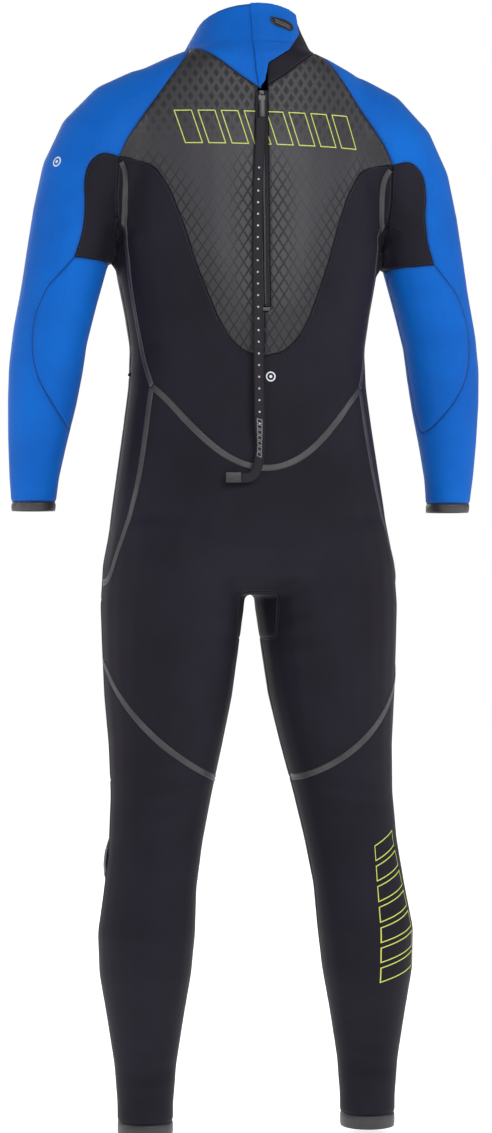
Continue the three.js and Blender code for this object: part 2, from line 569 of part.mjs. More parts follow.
// A neoprene baffle behind the zip, sewn to the left back panel along one edge.
const lining = (grow) => trunkLoft(-WALL - grow, COARSE);
const backStrip = (from, thick, x0, x1) => lining(from).subtract(lining(from + thick))
  .intersect(prism(box(x0, x1, ZIP_TOP - ZIP_LENGTH - BAFFLE_SPARE, ZIP_TOP - BAFFLE_SPARE), 0));
const baffleHalf = BAFFLE_WIDTH / 2;
add('zip_baffle', 'rubber', backStrip(BAFFLE_ROOM, BAFFLE_THICK, -baffleHalf, baffleHalf)
  .add(backStrip(FIT, BAFFLE_ROOM - FIT + BAFFLE_THICK, baffleHalf - BAFFLE_STITCH, baffleHalf)));

// ---------------------------------------------------------------- leash
// A flat webbing strap: hand-laid route of its middle, [x, out from the spine line, down from ZIP_TOP].
const leashRoute = LEASH_ROUTE.map(([x, out, down]) => new THREE.Vector3(x, out, -down));
const leashSection = new THREE.Shape([
  [-0.8, -0.4], [-0.5, -0.5], [0.5, -0.5], [0.8, -0.4], [0.8, 0.4], [0.5, 0.5], [-0.5, 0.5], [-0.8, 0.4],
].map(([thick, wide]) => new THREE.Vector2(thick * LEASH_THICK / 1.6, wide * LEASH_WIDTH)));
addPlain(zip, 'leash', 'web', new THREE.ExtrudeGeometry(leashSection, {
  extrudePath: new THREE.CatmullRomCurve3(leashRoute), steps: 32, bevelEnabled: false,
}));
const leashEnd = leashRoute.at(-1);
addPlain(zip, 'leash_end', 'rubber', block(
  leashEnd.x + FIT, leashEnd.x + FIT + LEASH_END_LENGTH, leashEnd.y - 1.5, leashEnd.y + 1.5,
  leashEnd.z - LEASH_WIDTH / 2, leashEnd.z + LEASH_WIDTH / 2));

group.position.z = -NECK_LEVEL;

export default group;
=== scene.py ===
import json
import math

import bmesh
import bpy
import numpy as np
from mathutils import Matrix, Vector
from mathutils.bvhtree import BVHTree
from mathutils.kdtree import KDTree


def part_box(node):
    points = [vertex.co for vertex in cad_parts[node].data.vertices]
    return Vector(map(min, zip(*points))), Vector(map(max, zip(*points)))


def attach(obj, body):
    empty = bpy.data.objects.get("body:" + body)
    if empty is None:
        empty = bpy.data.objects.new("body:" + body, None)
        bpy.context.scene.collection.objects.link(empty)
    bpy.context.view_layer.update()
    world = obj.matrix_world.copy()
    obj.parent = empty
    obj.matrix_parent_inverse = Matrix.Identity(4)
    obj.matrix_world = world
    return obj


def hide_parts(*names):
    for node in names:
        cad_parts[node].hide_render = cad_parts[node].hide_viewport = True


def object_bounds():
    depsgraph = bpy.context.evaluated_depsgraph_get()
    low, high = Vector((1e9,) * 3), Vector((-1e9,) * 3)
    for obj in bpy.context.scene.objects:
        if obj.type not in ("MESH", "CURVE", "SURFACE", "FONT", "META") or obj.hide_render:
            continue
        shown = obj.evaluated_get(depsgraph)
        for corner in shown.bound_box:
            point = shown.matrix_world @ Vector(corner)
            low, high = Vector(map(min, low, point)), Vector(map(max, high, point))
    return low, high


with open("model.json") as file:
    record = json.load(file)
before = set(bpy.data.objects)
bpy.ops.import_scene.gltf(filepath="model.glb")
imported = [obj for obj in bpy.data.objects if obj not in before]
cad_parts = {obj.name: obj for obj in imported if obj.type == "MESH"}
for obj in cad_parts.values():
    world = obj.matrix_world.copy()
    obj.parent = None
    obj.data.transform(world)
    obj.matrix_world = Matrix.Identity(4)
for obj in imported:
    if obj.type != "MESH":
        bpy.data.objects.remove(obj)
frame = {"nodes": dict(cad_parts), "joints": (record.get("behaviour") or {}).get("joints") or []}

cad_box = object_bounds()

# ---- sizes, in metres
SIDES = ("left", "right")
WALL = 0.0032              # neoprene thickness
VOXEL = 0.0036             # grain of the smooth body surface
LEVEL_STEP = 0.006         # distance between the measured rings of a limb
RING_POINTS = 120          # readings in one ring
ARMPIT_RISE = 0.045        # arms are apart from the trunk up to this height above the underarm panels
STRAY = 0.004              # a reading on a limb this far from its neighbours is dropped
TRUNK_TOP, TRUNK_REACH, PAST_HEM = 0.03, 0.45, 0.012
ARM_REACH, ARM_INNER, ARM_OVERLAP = 0.115, 0.15, 0.03      # ray length, least x, run into the trunk
LEG_REACH, LEG_INNER, LEG_OVERLAP = 0.155, 0.001, 0.035
LEAST_TRUNK, LEAST_LIMB = 0.04, 0.018                      # a reading under this isn't an outer wall
PRESS_REACH = 0.018        # how far out and in the surface looks for its panel
KEEP_NEAR = 0.0026         # by an opening, surface further than this from every panel is cut away
KEEP_FAR = 0.011           # and this far anywhere else
TAPE_ROUNDS = 40           # how often a tape's middle line is eased
SEAM_ROUNDS = 14           # how often a seam line is eased
FLAP_TAPER, FLAP_SINK = 0.024, 0.0024    # the flap thins out where it is sewn to the collar
GROOVE_DEPTH, GROOVE_WIDTH = 0.0005, 0.003
TAPE_HALF = {"side": 0.0038, "hip": 0.0041, "knee": 0.0041, "lumbar": 0.0042}
TAPE_HEIGHT, TAPE_ROOT = 0.0012, 0.0004
STITCH_SIZE = (0.0024, 0.0007, 0.0005)
STITCH_PITCH = 0.0034
STITCH_OFFSET = 0.0022     # distance of a stitch row from its seam
FLAP_STITCH_SIZE = (0.0026, 0.0008, 0.0006)
FLAP_ROWS = (0.0042, 0.0064)             # the flap's two rows of stitches, in from its free edge
TOOTH_PITCH = 0.0021
TOOTH_SIZE = (TOOTH_PITCH * 0.55, 0.0022, 0.0026)
CHAIN_SINK, CHAIN_START = 0.0018, 0.005  # the teeth lie under the zip's face and start below its top
LEASH_WIDTH, LEASH_THICK = 0.013, 0.0016
ROUTE_STEP = 0.003
TWIST_AT, TWIST_REACH, TWIST_LIFT, TWIST_ANGLE = 0.425, 0.026, 0.0026, math.radians(48)
DOT_SIZE = (0.0026, 0.0026, 0.0004)
FIRST_DOT, LAST_DOT, DOT_EVERY = 22, 132, 5    # counted in steps of the leash's route
FLOOR_GAP = 0.012

BLUE_PANELS = ["collar"] + [f"{n}_{s}" for n in ("sleeve", "elbow_panel") for s in SIDES]
SKIN_PANELS = [f"back_panel_{s}" for s in SIDES]
RUBBER_RINGS = [f"{n}_{s}" for n in ("cuff", "ankle_hem") for s in SIDES]
BLACK_PANELS = (
    ["lower_back_panel", "seat_panel", "chest_panel", "abdomen_panel", "crotch_gusset", "collar_underlap"]
    + [f"{n}_{s}" for n in ("side_panel", "underarm_panel", "thigh_panel", "shin_panel", "calf_panel")
       for s in SIDES]
)
PANELS = BLUE_PANELS + SKIN_PANELS + RUBBER_RINGS + BLACK_PANELS
NOT_TRUNK = ("sleeve", "elbow", "underarm", "cuff", "thigh", "shin", "calf", "ankle")


# ---- meshes, lines and modifiers
def rows_of(items, key, kind=float):
    """A three-part value of every item of a collection, one row each."""
    values = np.empty(len(items) * 3, dtype=kind)
    items.foreach_get(key, values)
    return values.reshape(-1, 3)


def mesh_arrays(mesh):
    quads = np.array([p.vertices[:] for p in mesh.polygons], dtype=np.int32)
    return rows_of(mesh.vertices, "co"), rows_of(mesh.vertices, "normal"), quads


def new_object(name, data):
    obj = bpy.data.objects.new(name, data)
    bpy.context.scene.collection.objects.link(obj)
    return obj


def closed_mesh(name, verts, faces, merge=None):
    """A mesh whose faces point outwards; vertices nearer than merge become one."""
    mesh = bpy.data.meshes.new(name)
    mesh.from_pydata(verts, [], faces)
    bm = bmesh.new()
    bm.from_mesh(mesh)
    if merge:
        bmesh.ops.remove_doubles(bm, verts=bm.verts, dist=merge)
    bmesh.ops.recalc_face_normals(bm, faces=bm.faces)
    bm.to_mesh(mesh)
    bm.free()
    return mesh


def modify(obj, name, kind, **settings):
    modifier = obj.modifiers.new(name, kind)
    for key, value in settings.items():
        setattr(modifier, key, value)


def evaluated(obj):
    """The object's mesh with its modifiers worked in."""
    return bpy.data.meshes.new_from_object(obj.evaluated_get(bpy.context.evaluated_depsgraph_get()))


def fill(sockets, values):
    """Sets plain values on a node's own sockets."""
    for key, value in values.items():
        sockets[key].default_value = value


def unit(rows):
    return rows / np.linalg.norm(rows, axis=1, keepdims=True)


def lengths_along(points):
    """The length of a line up to each of its points."""
    return np.concatenate([[0], np.cumsum(np.linalg.norm(np.diff(points, axis=0), axis=1))])


def smooth_line(points, rounds):
    points = points.copy()
    for _ in range(rounds):
        points[1:-1] = points[1:-1] * 0.5 + (points[:-2] + points[2:]) * 0.25
    return points


def even_line(points, normals, pitch):
    """The same line with points an even distance apart."""
    lengths = lengths_along(points)
    count = max(int(lengths[-1] / pitch), 2)
    at = np.linspace(0, lengths[-1], count + 1)
    out = np.stack([np.interp(at, lengths, points[:, k]) for k in range(3)], axis=1)
    face = np.stack([np.interp(at, lengths, normals[:, k]) for k in range(3)], axis=1)
    return out, unit(face)


# ---- measuring the CAD surface
TURNS = np.linspace(0, 2 * math.pi, RING_POINTS, endpoint=False)


def node_arrays(names):
    """Vertices and triangles of some CAD nodes together."""
    points, faces, start = [], [], 0
    for name in names:
        mesh = frame["nodes"][name].data
        points.append(rows_of(mesh.vertices, "co"))
        mesh.calc_loop_triangles()
        faces.append(rows_of(mesh.loop_triangles, "vertices", np.int32) + start)
        start += len(mesh.vertices)
    return np.vstack(points), np.vstack(faces)


def tree_of(names):
    points, faces = node_arrays(names)
    return BVHTree.FromPolygons(points.tolist(), faces.tolist())


def fill_ring(radii):
    """Fills the missing stretches of a ring by running straight between their ends."""
    known = np.flatnonzero(~np.isnan(radii))
    if len(known) < 3:
        return radii
    n = len(radii)
    at = np.concatenate([known - n, known, known + n])
    return np.interp(np.arange(n), at, np.tile(radii[known], 3))


def soften(rings, along, around):
    """Smooths a grid of radii along the limb and around it."""
    def kernel(width):
        reach = int(3 * width) + 1
        k = np.exp(-0.5 * (np.arange(-reach, reach + 1) / width) ** 2)
        return k / k.sum(), reach
    k, reach = kernel(along)
    padded = np.pad(rings, ((reach, reach), (0, 0)), mode="edge")
    rings = np.apply_along_axis(lambda c: np.convolve(c, k, "valid"), 0, padded)
    k, reach = kernel(around)
    padded = np.pad(rings, ((0, 0), (reach, reach)), mode="wrap")
    return np.apply_along_axis(lambda c: np.convolve(c, k, "valid"), 1, padded)


def measure(tree_at, centre_at, levels, reach):
    """Distance from a limb's middle to its outer surface, ring by ring, found by rays from outside."""
    rings = np.full((len(levels), RING_POINTS), np.nan)
    for i, z in enumerate(levels):
        cx, cy = centre_at(z)
        tree = tree_at(z)
        for j, turn in enumerate(TURNS):
            way = Vector((math.cos(turn), math.sin(turn), 0))
            hit = tree.ray_cast(Vector((cx, cy, z)) + way * reach, -way, reach)
            if hit[0] is not None:
                rings[i, j] = reach - hit[3]
    return rings


def loft_mesh(bm, rings, centre_at, levels):
    """Adds a closed loft through measured rings."""
    rows = []
    for z, radii in zip(levels, rings):
        cx, cy = centre_at(z)
        rows.append([bm.verts.new((cx + r * math.cos(t), cy + r * math.sin(t), z))
                     for r, t in zip(radii, TURNS)])
    for low, high in zip(rows, rows[1:]):
        for j in range(RING_POINTS):
            k = (j + 1) % RING_POINTS
            bm.faces.new((low[j], low[k], high[k], high[j]))
    bm.faces.new(list(reversed(rows[0])))
    bm.faces.new(rows[-1])


def limb_centre(tree, z_low, z_high, x_inside, x_outside, y_guess):
    """A gently curved middle line of a limb, from rays across it at a few levels."""
    levels = np.linspace(z_low, z_high, 9)
    xs, ys = [], []
    for z in levels:
        a = tree.ray_cast(Vector((x_inside, y_guess, z)), Vector((math.copysign(1, x_outside), 0, 0)), 1)
        b = tree.ray_cast(Vector((x_outside, y_guess, z)), Vector((-math.copysign(1, x_outside), 0, 0)), 1)
        x = (a[0].x + b[0].x) / 2
        f = tree.ray_cast(Vector((x, -0.5, z)), Vector((0, 1, 0)), 1)
        r = tree.ray_cast(Vector((x, 0.5, z)), Vector((0, -1, 0)), 1)
        xs.append(x)
        ys.append((f[0].y + r[0].y) / 2)
        y_guess = ys[-1]
    fit_x, fit_y = np.polyfit(levels, xs, 3), np.polyfit(levels, ys, 3)
    def centre(z):
        z = min(max(z, z_low), z_high)
        return float(np.polyval(fit_x, z)), float(np.polyval(fit_y, z))
    return centre


def mend_rings(rings, least, stray=None):
    """Drops stray readings, then fills the missing ones from the rings above and below, or around."""
    rings[rings < least] = np.nan
    for i in range(len(rings) if stray else 0):
        near = rings[max(i - 2, 0):i + 3]
        wide = np.concatenate([near[:, -3:], near, near[:, :3]], axis=1)
        for j in range(RING_POINTS):
            patch = wide[:, j:j + 7]
            if not np.isnan(rings[i, j]) and abs(rings[i, j] - np.nanmedian(patch)) > stray:
                rings[i, j] = np.nan
    for i in range(1, len(rings) - 1):
        above, below = rings[i + 1], rings[i - 1]
        lost = np.isnan(rings[i]) & ~np.isnan(above) & ~np.isnan(below)
        rings[i][lost] = (above[lost] + below[lost]) / 2
    whole = [i for i in range(len(rings)) if (~np.isnan(rings[i])).sum() > RING_POINTS * 0.3]
    return np.array([fill_ring(rings[min(whole, key=lambda k: abs(k - i))]) for i in range(len(rings))])


def limb_rings(bm, nodes, centre_at, low, high, reach, inner):
    """Measures one limb and adds its loft; readings nearer the body's middle than inner are dropped."""
    levels = np.arange(low, high, LEVEL_STEP)
    tree = tree_of(nodes)
    rings = measure(lambda z: tree, centre_at, levels, reach)
    side = math.copysign(1, centre_at(high)[0])
    for i, z in enumerate(levels):
        x = (centre_at(z)[0] + rings[i] * np.cos(TURNS)) * side
        rings[i][x < inner] = np.nan
    loft_mesh(bm, soften(mend_rings(rings, LEAST_LIMB, STRAY), 1.2, 1.6), centre_at, levels)


def body_surface():
    """The smooth outer surface of the whole suit as one mesh."""
    bm = bmesh.new()
    trunk_nodes = [n for n in PANELS if not n.startswith(NOT_TRUNK)]
    trunk_tree, whole_tree = tree_of(trunk_nodes), tree_of(PANELS)
    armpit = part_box("underarm_panel_left")[0].z + ARMPIT_RISE
    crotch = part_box("crotch_gusset")[1].z - 0.004
    levels = np.arange(crotch, TRUNK_TOP, LEVEL_STEP)
    middle = lambda z: (0.0, 0.0)
    tree_at = lambda z: whole_tree if z > armpit or z < crotch + 0.05 else trunk_tree
    rings = mend_rings(measure(tree_at, middle, levels, TRUNK_REACH), LEAST_TRUNK)
    split = int(np.searchsorted(levels, armpit))
    rings[:split] = soften(rings[:split], 1.2, 1.0)
    rings[split:] = soften(rings[split:], 0.7, 0.7)
    loft_mesh(bm, rings, middle, levels)
    hem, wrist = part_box("ankle_hem_left")[0].z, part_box("cuff_left")[0].z
    for side, sign in zip(SIDES, (1, -1)):
        arm = [f"{n}_{side}" for n in ("sleeve", "elbow_panel", "underarm_panel", "cuff")]
        tree = tree_of(arm)
        centre = limb_centre(tree, wrist + 0.004, armpit - 0.09, sign * 0.14, sign * 0.6, -0.02)
        slope = [(a - b) / 0.02 for a, b in zip(centre(armpit - 0.1), centre(armpit - 0.12))]
        reach_up = lambda z, c=centre, s=slope: tuple(
            v + k * max(0.0, z - (armpit - 0.1)) for v, k in zip(c(min(z, armpit - 0.1)), s))
        limb_rings(bm, arm, reach_up, wrist - PAST_HEM, armpit + ARM_OVERLAP, ARM_REACH, ARM_INNER)
        leg = [f"{n}_{side}" for n in ("thigh_panel", "shin_panel", "calf_panel", "ankle_hem")]
        leg += ["seat_panel", "crotch_gusset"]
        tree = tree_of(leg)
        centre = limb_centre(tree, hem + 0.004, crotch - 0.07, sign * 0.001, sign * 0.4, 0.06)
        limb_rings(bm, leg, centre, hem - PAST_HEM, crotch + LEG_OVERLAP, LEG_REACH, LEG_INNER)
    bmesh.ops.recalc_face_normals(bm, faces=bm.faces)
    mesh = bpy.data.meshes.new("body_surface")
    bm.to_mesh(mesh)
    bm.free()
    obj = new_object("body_surface", mesh)
    modify(obj, "remesh", "REMESH", mode="VOXEL", voxel_size=VOXEL * 1)
    modify(obj, "smooth", "SMOOTH", factor=0.5, iterations=14)
    fine = evaluated(obj)
    bpy.data.objects.remove(obj)
    press_on(fine)
    return fine


def press_on(mesh):
    """Brings a surface that is nearly right onto the panels, smoothly, along its own normals."""
    tree = tree_of(PANELS)
    co, normals, quads = mesh_arrays(mesh)
    move = np.full(len(co), np.nan)
    for i, (point, face) in enumerate(zip(co, normals)):
        way = Vector(face)
        start = Vector(point) + way * PRESS_REACH
        left = 2 * PRESS_REACH
        hit = tree.ray_cast(start, -way, left)
        # A wall turned away from this one belongs to another limb, so the ray goes on through it.
        while hit[0] is not None and hit[1].dot(way) < 0.3:
            left -= hit[3] + 0.0001
            hit = tree.ray_cast(hit[0] - way * 0.0001, -way, left) if left > 0 else (None,) * 4
        if hit[0] is not None:
            move[i] = (hit[0] - Vector(point)).dot(way)
    ends = np.vstack([quads[:, [0, 1]], quads[:, [1, 2]], quads[:, [2, 3]], quads[:, [3, 0]]])
    for _ in range(10):
        known = (~np.isnan(move)).astype(float)
        value = np.nan_to_num(move)
        total = np.bincount(ends[:, 0], value[ends[:, 1]], len(co)) + 2 * value
        count = np.bincount(ends[:, 0], known[ends[:, 1]], len(co)) + 2 * known
        move = np.divide(total, count, out=np.full(len(co), np.nan), where=count > 0)
    co += normals * np.nan_to_num(move)[:, None]
    mesh.vertices.foreach_set("co", co.ravel())
    mesh.update()


# ---- cutting the surface into panels
def nearest_panels(points, reach=0.012):
    """For every point and every panel, the distance and the nearest place on it."""
    gap = np.full((len(points), len(PANELS)), 1.0, dtype=np.float32)
    place = np.zeros((len(points), len(PANELS), 3), dtype=np.float32)
    for k, name in enumerate(PANELS):
        tree = tree_of([name])
        low, high = (np.array(corner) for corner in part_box(name))
        near = np.flatnonzero(((points > low - reach) & (points < high + reach)).all(axis=1))
        for i in near:
            hit = tree.find_nearest(points[i], reach)
            if hit[0] is not None:
                gap[i, k] = hit[3]
                place[i, k] = hit[0]
    return gap, place


class Shell:
    """The body surface with a panel number on every face, its seams drawn onto the CAD's seams."""

    def __init__(self, mesh):
        self.co, self.normals, self.quads = mesh_arrays(mesh)
        gap, place = nearest_panels(self.co)
        face_gap = gap[self.quads].mean(axis=1)
        self.label = face_gap.argmin(axis=1)
        far = face_gap.min(axis=1)
        self.label[(far > KEEP_NEAR) & self.near_opening()] = -1
        self.label[far > KEEP_FAR] = -1
        self.edge_faces = self.face_edges()
        self.even_out()
        self.draw_seams(gap, place)
        self.round_seams()

    def near_opening(self):
        """The faces by the neck, the wrists, the ankles and the zip, where the surface must end."""
        x, y, z = self.co[self.quads].mean(axis=1).T
        zip_low, zip_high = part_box("zip_tape_left")
        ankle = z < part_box("ankle_hem_left")[1].z + 0.01
        wrist = (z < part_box("cuff_left")[1].z + 0.01) & (np.abs(x) > 0.22)
        neck = (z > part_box("collar")[0].z - 0.02) & (np.abs(x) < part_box("collar")[1].x + 0.01)
        slot = (np.abs(x) < 0.014) & (y > 0.04) & (z > zip_low.z - 0.02) & (z < zip_high.z + 0.02)
        return ankle | wrist | neck | slot

    def even_out(self):
        """A face whose neighbours nearly all belong elsewhere joins them."""
        for _ in range(3):
            votes = {}
            for faces in self.edge_faces.values():
                if len(faces) == 2:
                    a, b = faces
                    votes.setdefault(a, []).append(self.label[b])
                    votes.setdefault(b, []).append(self.label[a])
            for face, near in votes.items():
                best = max(set(near), key=near.count)
                if near.count(best) >= 3:
                    self.label[face] = best

    def face_edges(self):
        edges = {}
        for f, quad in enumerate(self.quads):
            for a, b in zip(quad, np.roll(quad, -1)):
                edges.setdefault((min(a, b), max(a, b)), []).append(f)
        return edges

    def draw_seams(self, gap, place):
        """Moves the vertices between two panels along the surface onto the seam."""
        touching = {}
        for label, quad in zip(self.label, self.quads):
            for v in quad:
                touching.setdefault(v, set()).add(int(label))
        moved = self.co.copy()
        self.on_seam = np.zeros(len(self.co), dtype=bool)
        for v, labels in touching.items():
            if len(labels) < 2:
                continue
            real = sorted(labels - {-1}, key=lambda k: gap[v, k])
            if not real or gap[v, real[-1]] > 0.9:
                continue
            self.on_seam[v] = True
            way = place[v, real[-1]] - self.co[v]
            if -1 not in labels:
                way = way - self.normals[v] * way.dot(self.normals[v])
            moved[v] = self.co[v] + way
        self.co = moved

    def round_seams(self):
        """Eases the corners of every seam line, and the surface beside it."""
        touching = set()
        for faces in self.edge_faces.values():
            if len(faces) == 2 and self.label[faces[0]] != self.label[faces[1]]:
                touching.add(tuple(sorted((int(self.label[faces[0]]), int(self.label[faces[1]])))))
        self.pairs = [(PANELS[a], PANELS[b]) for a, b in sorted(touching) if a >= 0]
        for pair in self.pairs:
            for line in self.seam(*pair):
                self.co[line] = smooth_line(self.co[line], SEAM_ROUNDS)
        ends = np.array(list(self.edge_faces))
        ends = np.vstack([ends, ends[:, ::-1]])
        free = ~self.on_seam
        count = np.bincount(ends[:, 0], minlength=len(self.co))
        for _ in range(4):
            sums = [np.bincount(ends[:, 0], self.co[ends[:, 1], k], len(self.co)) for k in range(3)]
            mean = np.stack(sums, axis=1)
            mean /= np.maximum(count, 1)[:, None]
            pull = (mean - self.co) * 0.5
            pull -= self.normals * (pull * self.normals).sum(axis=1, keepdims=True)
            self.co[free] += pull[free]

    def panel(self, name):
        """One panel as a mesh of its own."""
        quads = self.quads[self.label == PANELS.index(name)]
        used, flat = np.unique(quads, return_inverse=True)
        mesh = bpy.data.meshes.new(name)
        mesh.from_pydata(self.co[used].tolist(), [], flat.reshape(-1, 4).tolist())
        return mesh, used

    def seam(self, first, second):
        """The longest line of edges between two panels, as points and outward normals."""
        a, b = PANELS.index(first), PANELS.index(second)
        links = {}
        for (v, w), faces in self.edge_faces.items():
            if len(faces) == 2 and {self.label[faces[0]], self.label[faces[1]]} == {a, b}:
                links.setdefault(v, []).append(w)
                links.setdefault(w, []).append(v)
        lines, left = [], set(links)
        while left:
            start = next((v for v in sorted(left) if len(links[v]) == 1), min(left))
            line, left_now = [start], left - {start}
            while True:
                step = [w for w in links[line[-1]] if w in left_now]
                if not step:
                    break
                line.append(step[0])
                left_now.discard(step[0])
            left = left_now
            lines.append(line)
        return [line for line in lines if len(line) > 6]


# ---- shader building blocks
class Net:
    """Adds nodes to a tree; every method gives back the socket that carries its result."""

    def __init__(self, tree):
        self.tree = tree

    def node(self, kind, **settings):
        made = self.tree.nodes.new(kind)
        for key, value in settings.items():
            setattr(made, key, value)
        return made

    def put(self, value, socket):
        if isinstance(value, bpy.types.NodeSocket):
            self.tree.links.new(value, socket)
        else:
            socket.default_value = value

    def math(self, operation, a, b=0.0):
        made = self.node("ShaderNodeMath", operation=operation)
        self.put(a, made.inputs[0])
        self.put(b, made.inputs[1])
        return made.outputs[0]

    def times(self, a, b):
        return self.math("MULTIPLY", a, b)

    def plus(self, a, b):
        return self.math("ADD", a, b)

    def minus(self, a, b):
        return self.math("SUBTRACT", a, b)

    def over(self, a, b):
        return self.math("DIVIDE", a, b)

    def absolute(self, a):
        return self.math("ABSOLUTE", a)

    def step(self, value, low, high):
        """0 below low, 1 above high, smooth in between; high may be the smaller."""
        made = self.node("ShaderNodeMapRange", interpolation_type="SMOOTHSTEP")
        self.put(value, made.inputs[0])
        turned = low > high
        self.put(min(low, high), made.inputs[1])
        self.put(max(low, high), made.inputs[2])
        self.put(1.0 if turned else 0.0, made.inputs[3])
        self.put(0.0 if turned else 1.0, made.inputs[4])
        return made.outputs[0]

    def mix(self, factor, a, b):
        made = self.node("ShaderNodeMix", data_type="RGBA")
        self.put(factor, made.inputs[0])
        self.put(a, made.inputs[6])
        self.put(b, made.inputs[7])
        return made.outputs[2]

    def noise(self, vector, scale, detail=2.0):
        made = self.node("ShaderNodeTexNoise")
        self.put(vector, made.inputs["Vector"])
        self.put(scale, made.inputs["Scale"])
        self.put(detail, made.inputs["Detail"])
        return made.outputs[0]

    def split(self, vector):
        made = self.node("ShaderNodeSeparateXYZ")
        self.put(vector, made.inputs[0])
        return made.outputs

    def place(self):
        return self.node("ShaderNodeTexCoord").outputs["Object"]

    def group(self, tree, **values):
        made = self.node("ShaderNodeGroup", node_tree=tree)
        for key, value in values.items():
            self.put(value, made.inputs[key])
        return made.outputs


def new_group(name, inputs, outputs):
    tree = bpy.data.node_groups.new(name, "ShaderNodeTree")
    for key, kind, value in inputs:
        socket = tree.interface.new_socket(key, in_out="INPUT", socket_type=kind)
        if value is not None:
            socket.default_value = value
    for key, kind in outputs:
        tree.interface.new_socket(key, in_out="OUTPUT", socket_type=kind)
    net = Net(tree)
    return tree, net, net.node("NodeGroupInput").outputs, net.node("NodeGroupOutput").inputs


FLOAT, VECTOR = "NodeSocketFloat", "NodeSocketVector"


def rgb(r, g, b):
    """A screen colour of 0 to 255 as the linear colour a shader takes."""
    shares = (r / 255, g / 255, b / 255)
    linear = [c / 12.92 if c <= 0.04045 else ((c + 0.055) / 1.055) ** 2.4 for c in shares]
    return (*linear, 1.0)


def make_knit():
    """Fine jersey knit: its height, and a slow unevenness of tone."""
    tree, net, given, out = new_group("jersey knit", [("Vector", VECTOR, None)],
                                      [("Height", FLOAT), ("Tone", FLOAT)])
    x, y, z = net.split(given["Vector"])
    rib = net.math("SINE", net.times(z, 2 * math.pi / 0.0009))
    wale = net.math("SINE", net.times(net.plus(x, y), 2 * math.pi / 0.0011))
    fuzz = net.noise(given["Vector"], 1400.0)
    knit = net.times(net.times(rib, wale), 0.25)
    net.put(net.plus(knit, fuzz), out["Height"])
    slow = net.noise(given["Vector"], 9.0, 3.0)
    speck = net.noise(given["Vector"], 420.0)
    net.put(net.plus(net.times(slow, 0.7), net.times(speck, 0.3)), out["Tone"])
    return tree


def make_seam():
    """The glued seam: a fine dark line, a groove and painted shade beside it, from the piece's own distance
    to its seams.
    """
    outputs = [("Line", FLOAT), ("Height", FLOAT), ("Seam Shade", FLOAT)]
    tree, net, _, out = new_group("glued seam", [], outputs)
    gap = net.node("ShaderNodeAttribute", attribute_name="seam").outputs["Fac"]
    net.put(net.step(gap, 0.0016, 0.0004), out["Line"])
    net.put(net.step(gap, 0.0, 0.004), out["Height"])
    # Painted shade: a darkening that fades out about a centimetre from the seam.
    net.put(net.step(gap, 0.012, 0.002), out["Seam Shade"])
    return tree


def make_diamonds():
    """Embossed lozenges, deep near the top and fading out over the middle of the back."""
    tree, net, given, out = new_group("lozenge emboss", [("Vector", VECTOR, None)],
                                      [("Height", FLOAT), ("Groove", FLOAT)])
    x, _, z = net.split(given["Vector"])
    u = net.over(x, 0.0132)
    v = net.over(z, 0.0205)
    def ridge(value):
        part = net.math("FRACT", value)
        return net.absolute(net.minus(part, 0.5))
    low = net.math("MINIMUM", ridge(net.plus(u, v)), ridge(net.minus(u, v)))
    top = net.step(z, -0.21, -0.11)
    gap = net.node("ShaderNodeAttribute", attribute_name="seam").outputs["Fac"]
    edge = net.times(net.step(gap, 0.05, 0.008), net.step(z, -0.15, -0.26))
    cell = net.times(net.step(low, 0.10, 0.32), top)
    line = net.times(net.step(low, 0.13, 0.04), edge)
    faint = net.times(net.step(low, 0.10, 0.03), 0.16)
    groove = net.math("MAXIMUM", net.math("MAXIMUM", cell, line), faint)
    net.put(net.minus(1.0, groove), out["Height"])
    net.put(groove, out["Groove"])
    return tree


def make_slats():
    """A printed band of slanted outlined bars: U runs along the band and V across it, in metres."""
    tree, net, given, out = new_group(
        "printed bars", [("U", FLOAT, 0.0), ("V", FLOAT, 0.0), ("Length", FLOAT, 0.2), ("Width", FLOAT, 0.04),
                         ("Count", FLOAT, 6.0), ("Line", FLOAT, 0.0011)], [("Mask", FLOAT)])
    pitch = net.over(given["Length"], given["Count"])
    slid = net.minus(given["U"], net.times(given["V"], 0.32))
    cell = net.math("FRACT", net.over(slid, pitch))
    across = net.times(net.absolute(net.minus(cell, 0.5)), pitch)
    side = net.minus(across, net.times(pitch, 0.36))
    end = net.minus(net.absolute(given["V"]), net.times(given["Width"], 0.46))
    edge = net.absolute(net.math("MAXIMUM", side, end))
    soft = net.minus(1.0, net.over(edge, given["Line"]))
    line = net.step(soft, 0.0, 0.45)
    begun = net.math("GREATER_THAN", slid, 0.0)
    inside = net.times(begun, net.math("LESS_THAN", slid, given["Length"]))
    net.put(net.times(line, inside), out["Mask"])
    return tree


def make_ring():
    """A small printed ring with a dot in it, from measures across, up and out of a spot on the surface."""
    inputs = [("Across", FLOAT, 0.0), ("Up", FLOAT, 0.0), ("Out", FLOAT, 0.0), ("Size", FLOAT, 0.013)]
    tree, net, given, out = new_group("printed ring", inputs, [("Mask", FLOAT)])
    square = net.plus(net.times(given["Across"], given["Across"]), net.times(given["Up"], given["Up"]))
    r = net.over(net.math("SQRT", square), given["Size"])
    ring = net.times(net.step(r, 0.52, 0.46), net.step(r, 0.34, 0.38))
    dot = net.step(r, 0.18, 0.13)
    near = net.math("LESS_THAN", net.absolute(given["Out"]), 0.012)
    net.put(net.times(net.math("MAXIMUM", ring, dot), near), out["Mask"])
    return tree


GROUPS = {"knit": make_knit(), "seam": make_seam(), "diamonds": make_diamonds(), "slats": make_slats(),
          "ring": make_ring()}


def new_material(name):
    """A material with only a Principled shader, ready for its inputs."""
    made = bpy.data.materials.new(name)
    made.use_nodes = True
    net = Net(made.node_tree)
    shader = made.node_tree.nodes["Principled BSDF"]
    return made, net, shader.inputs


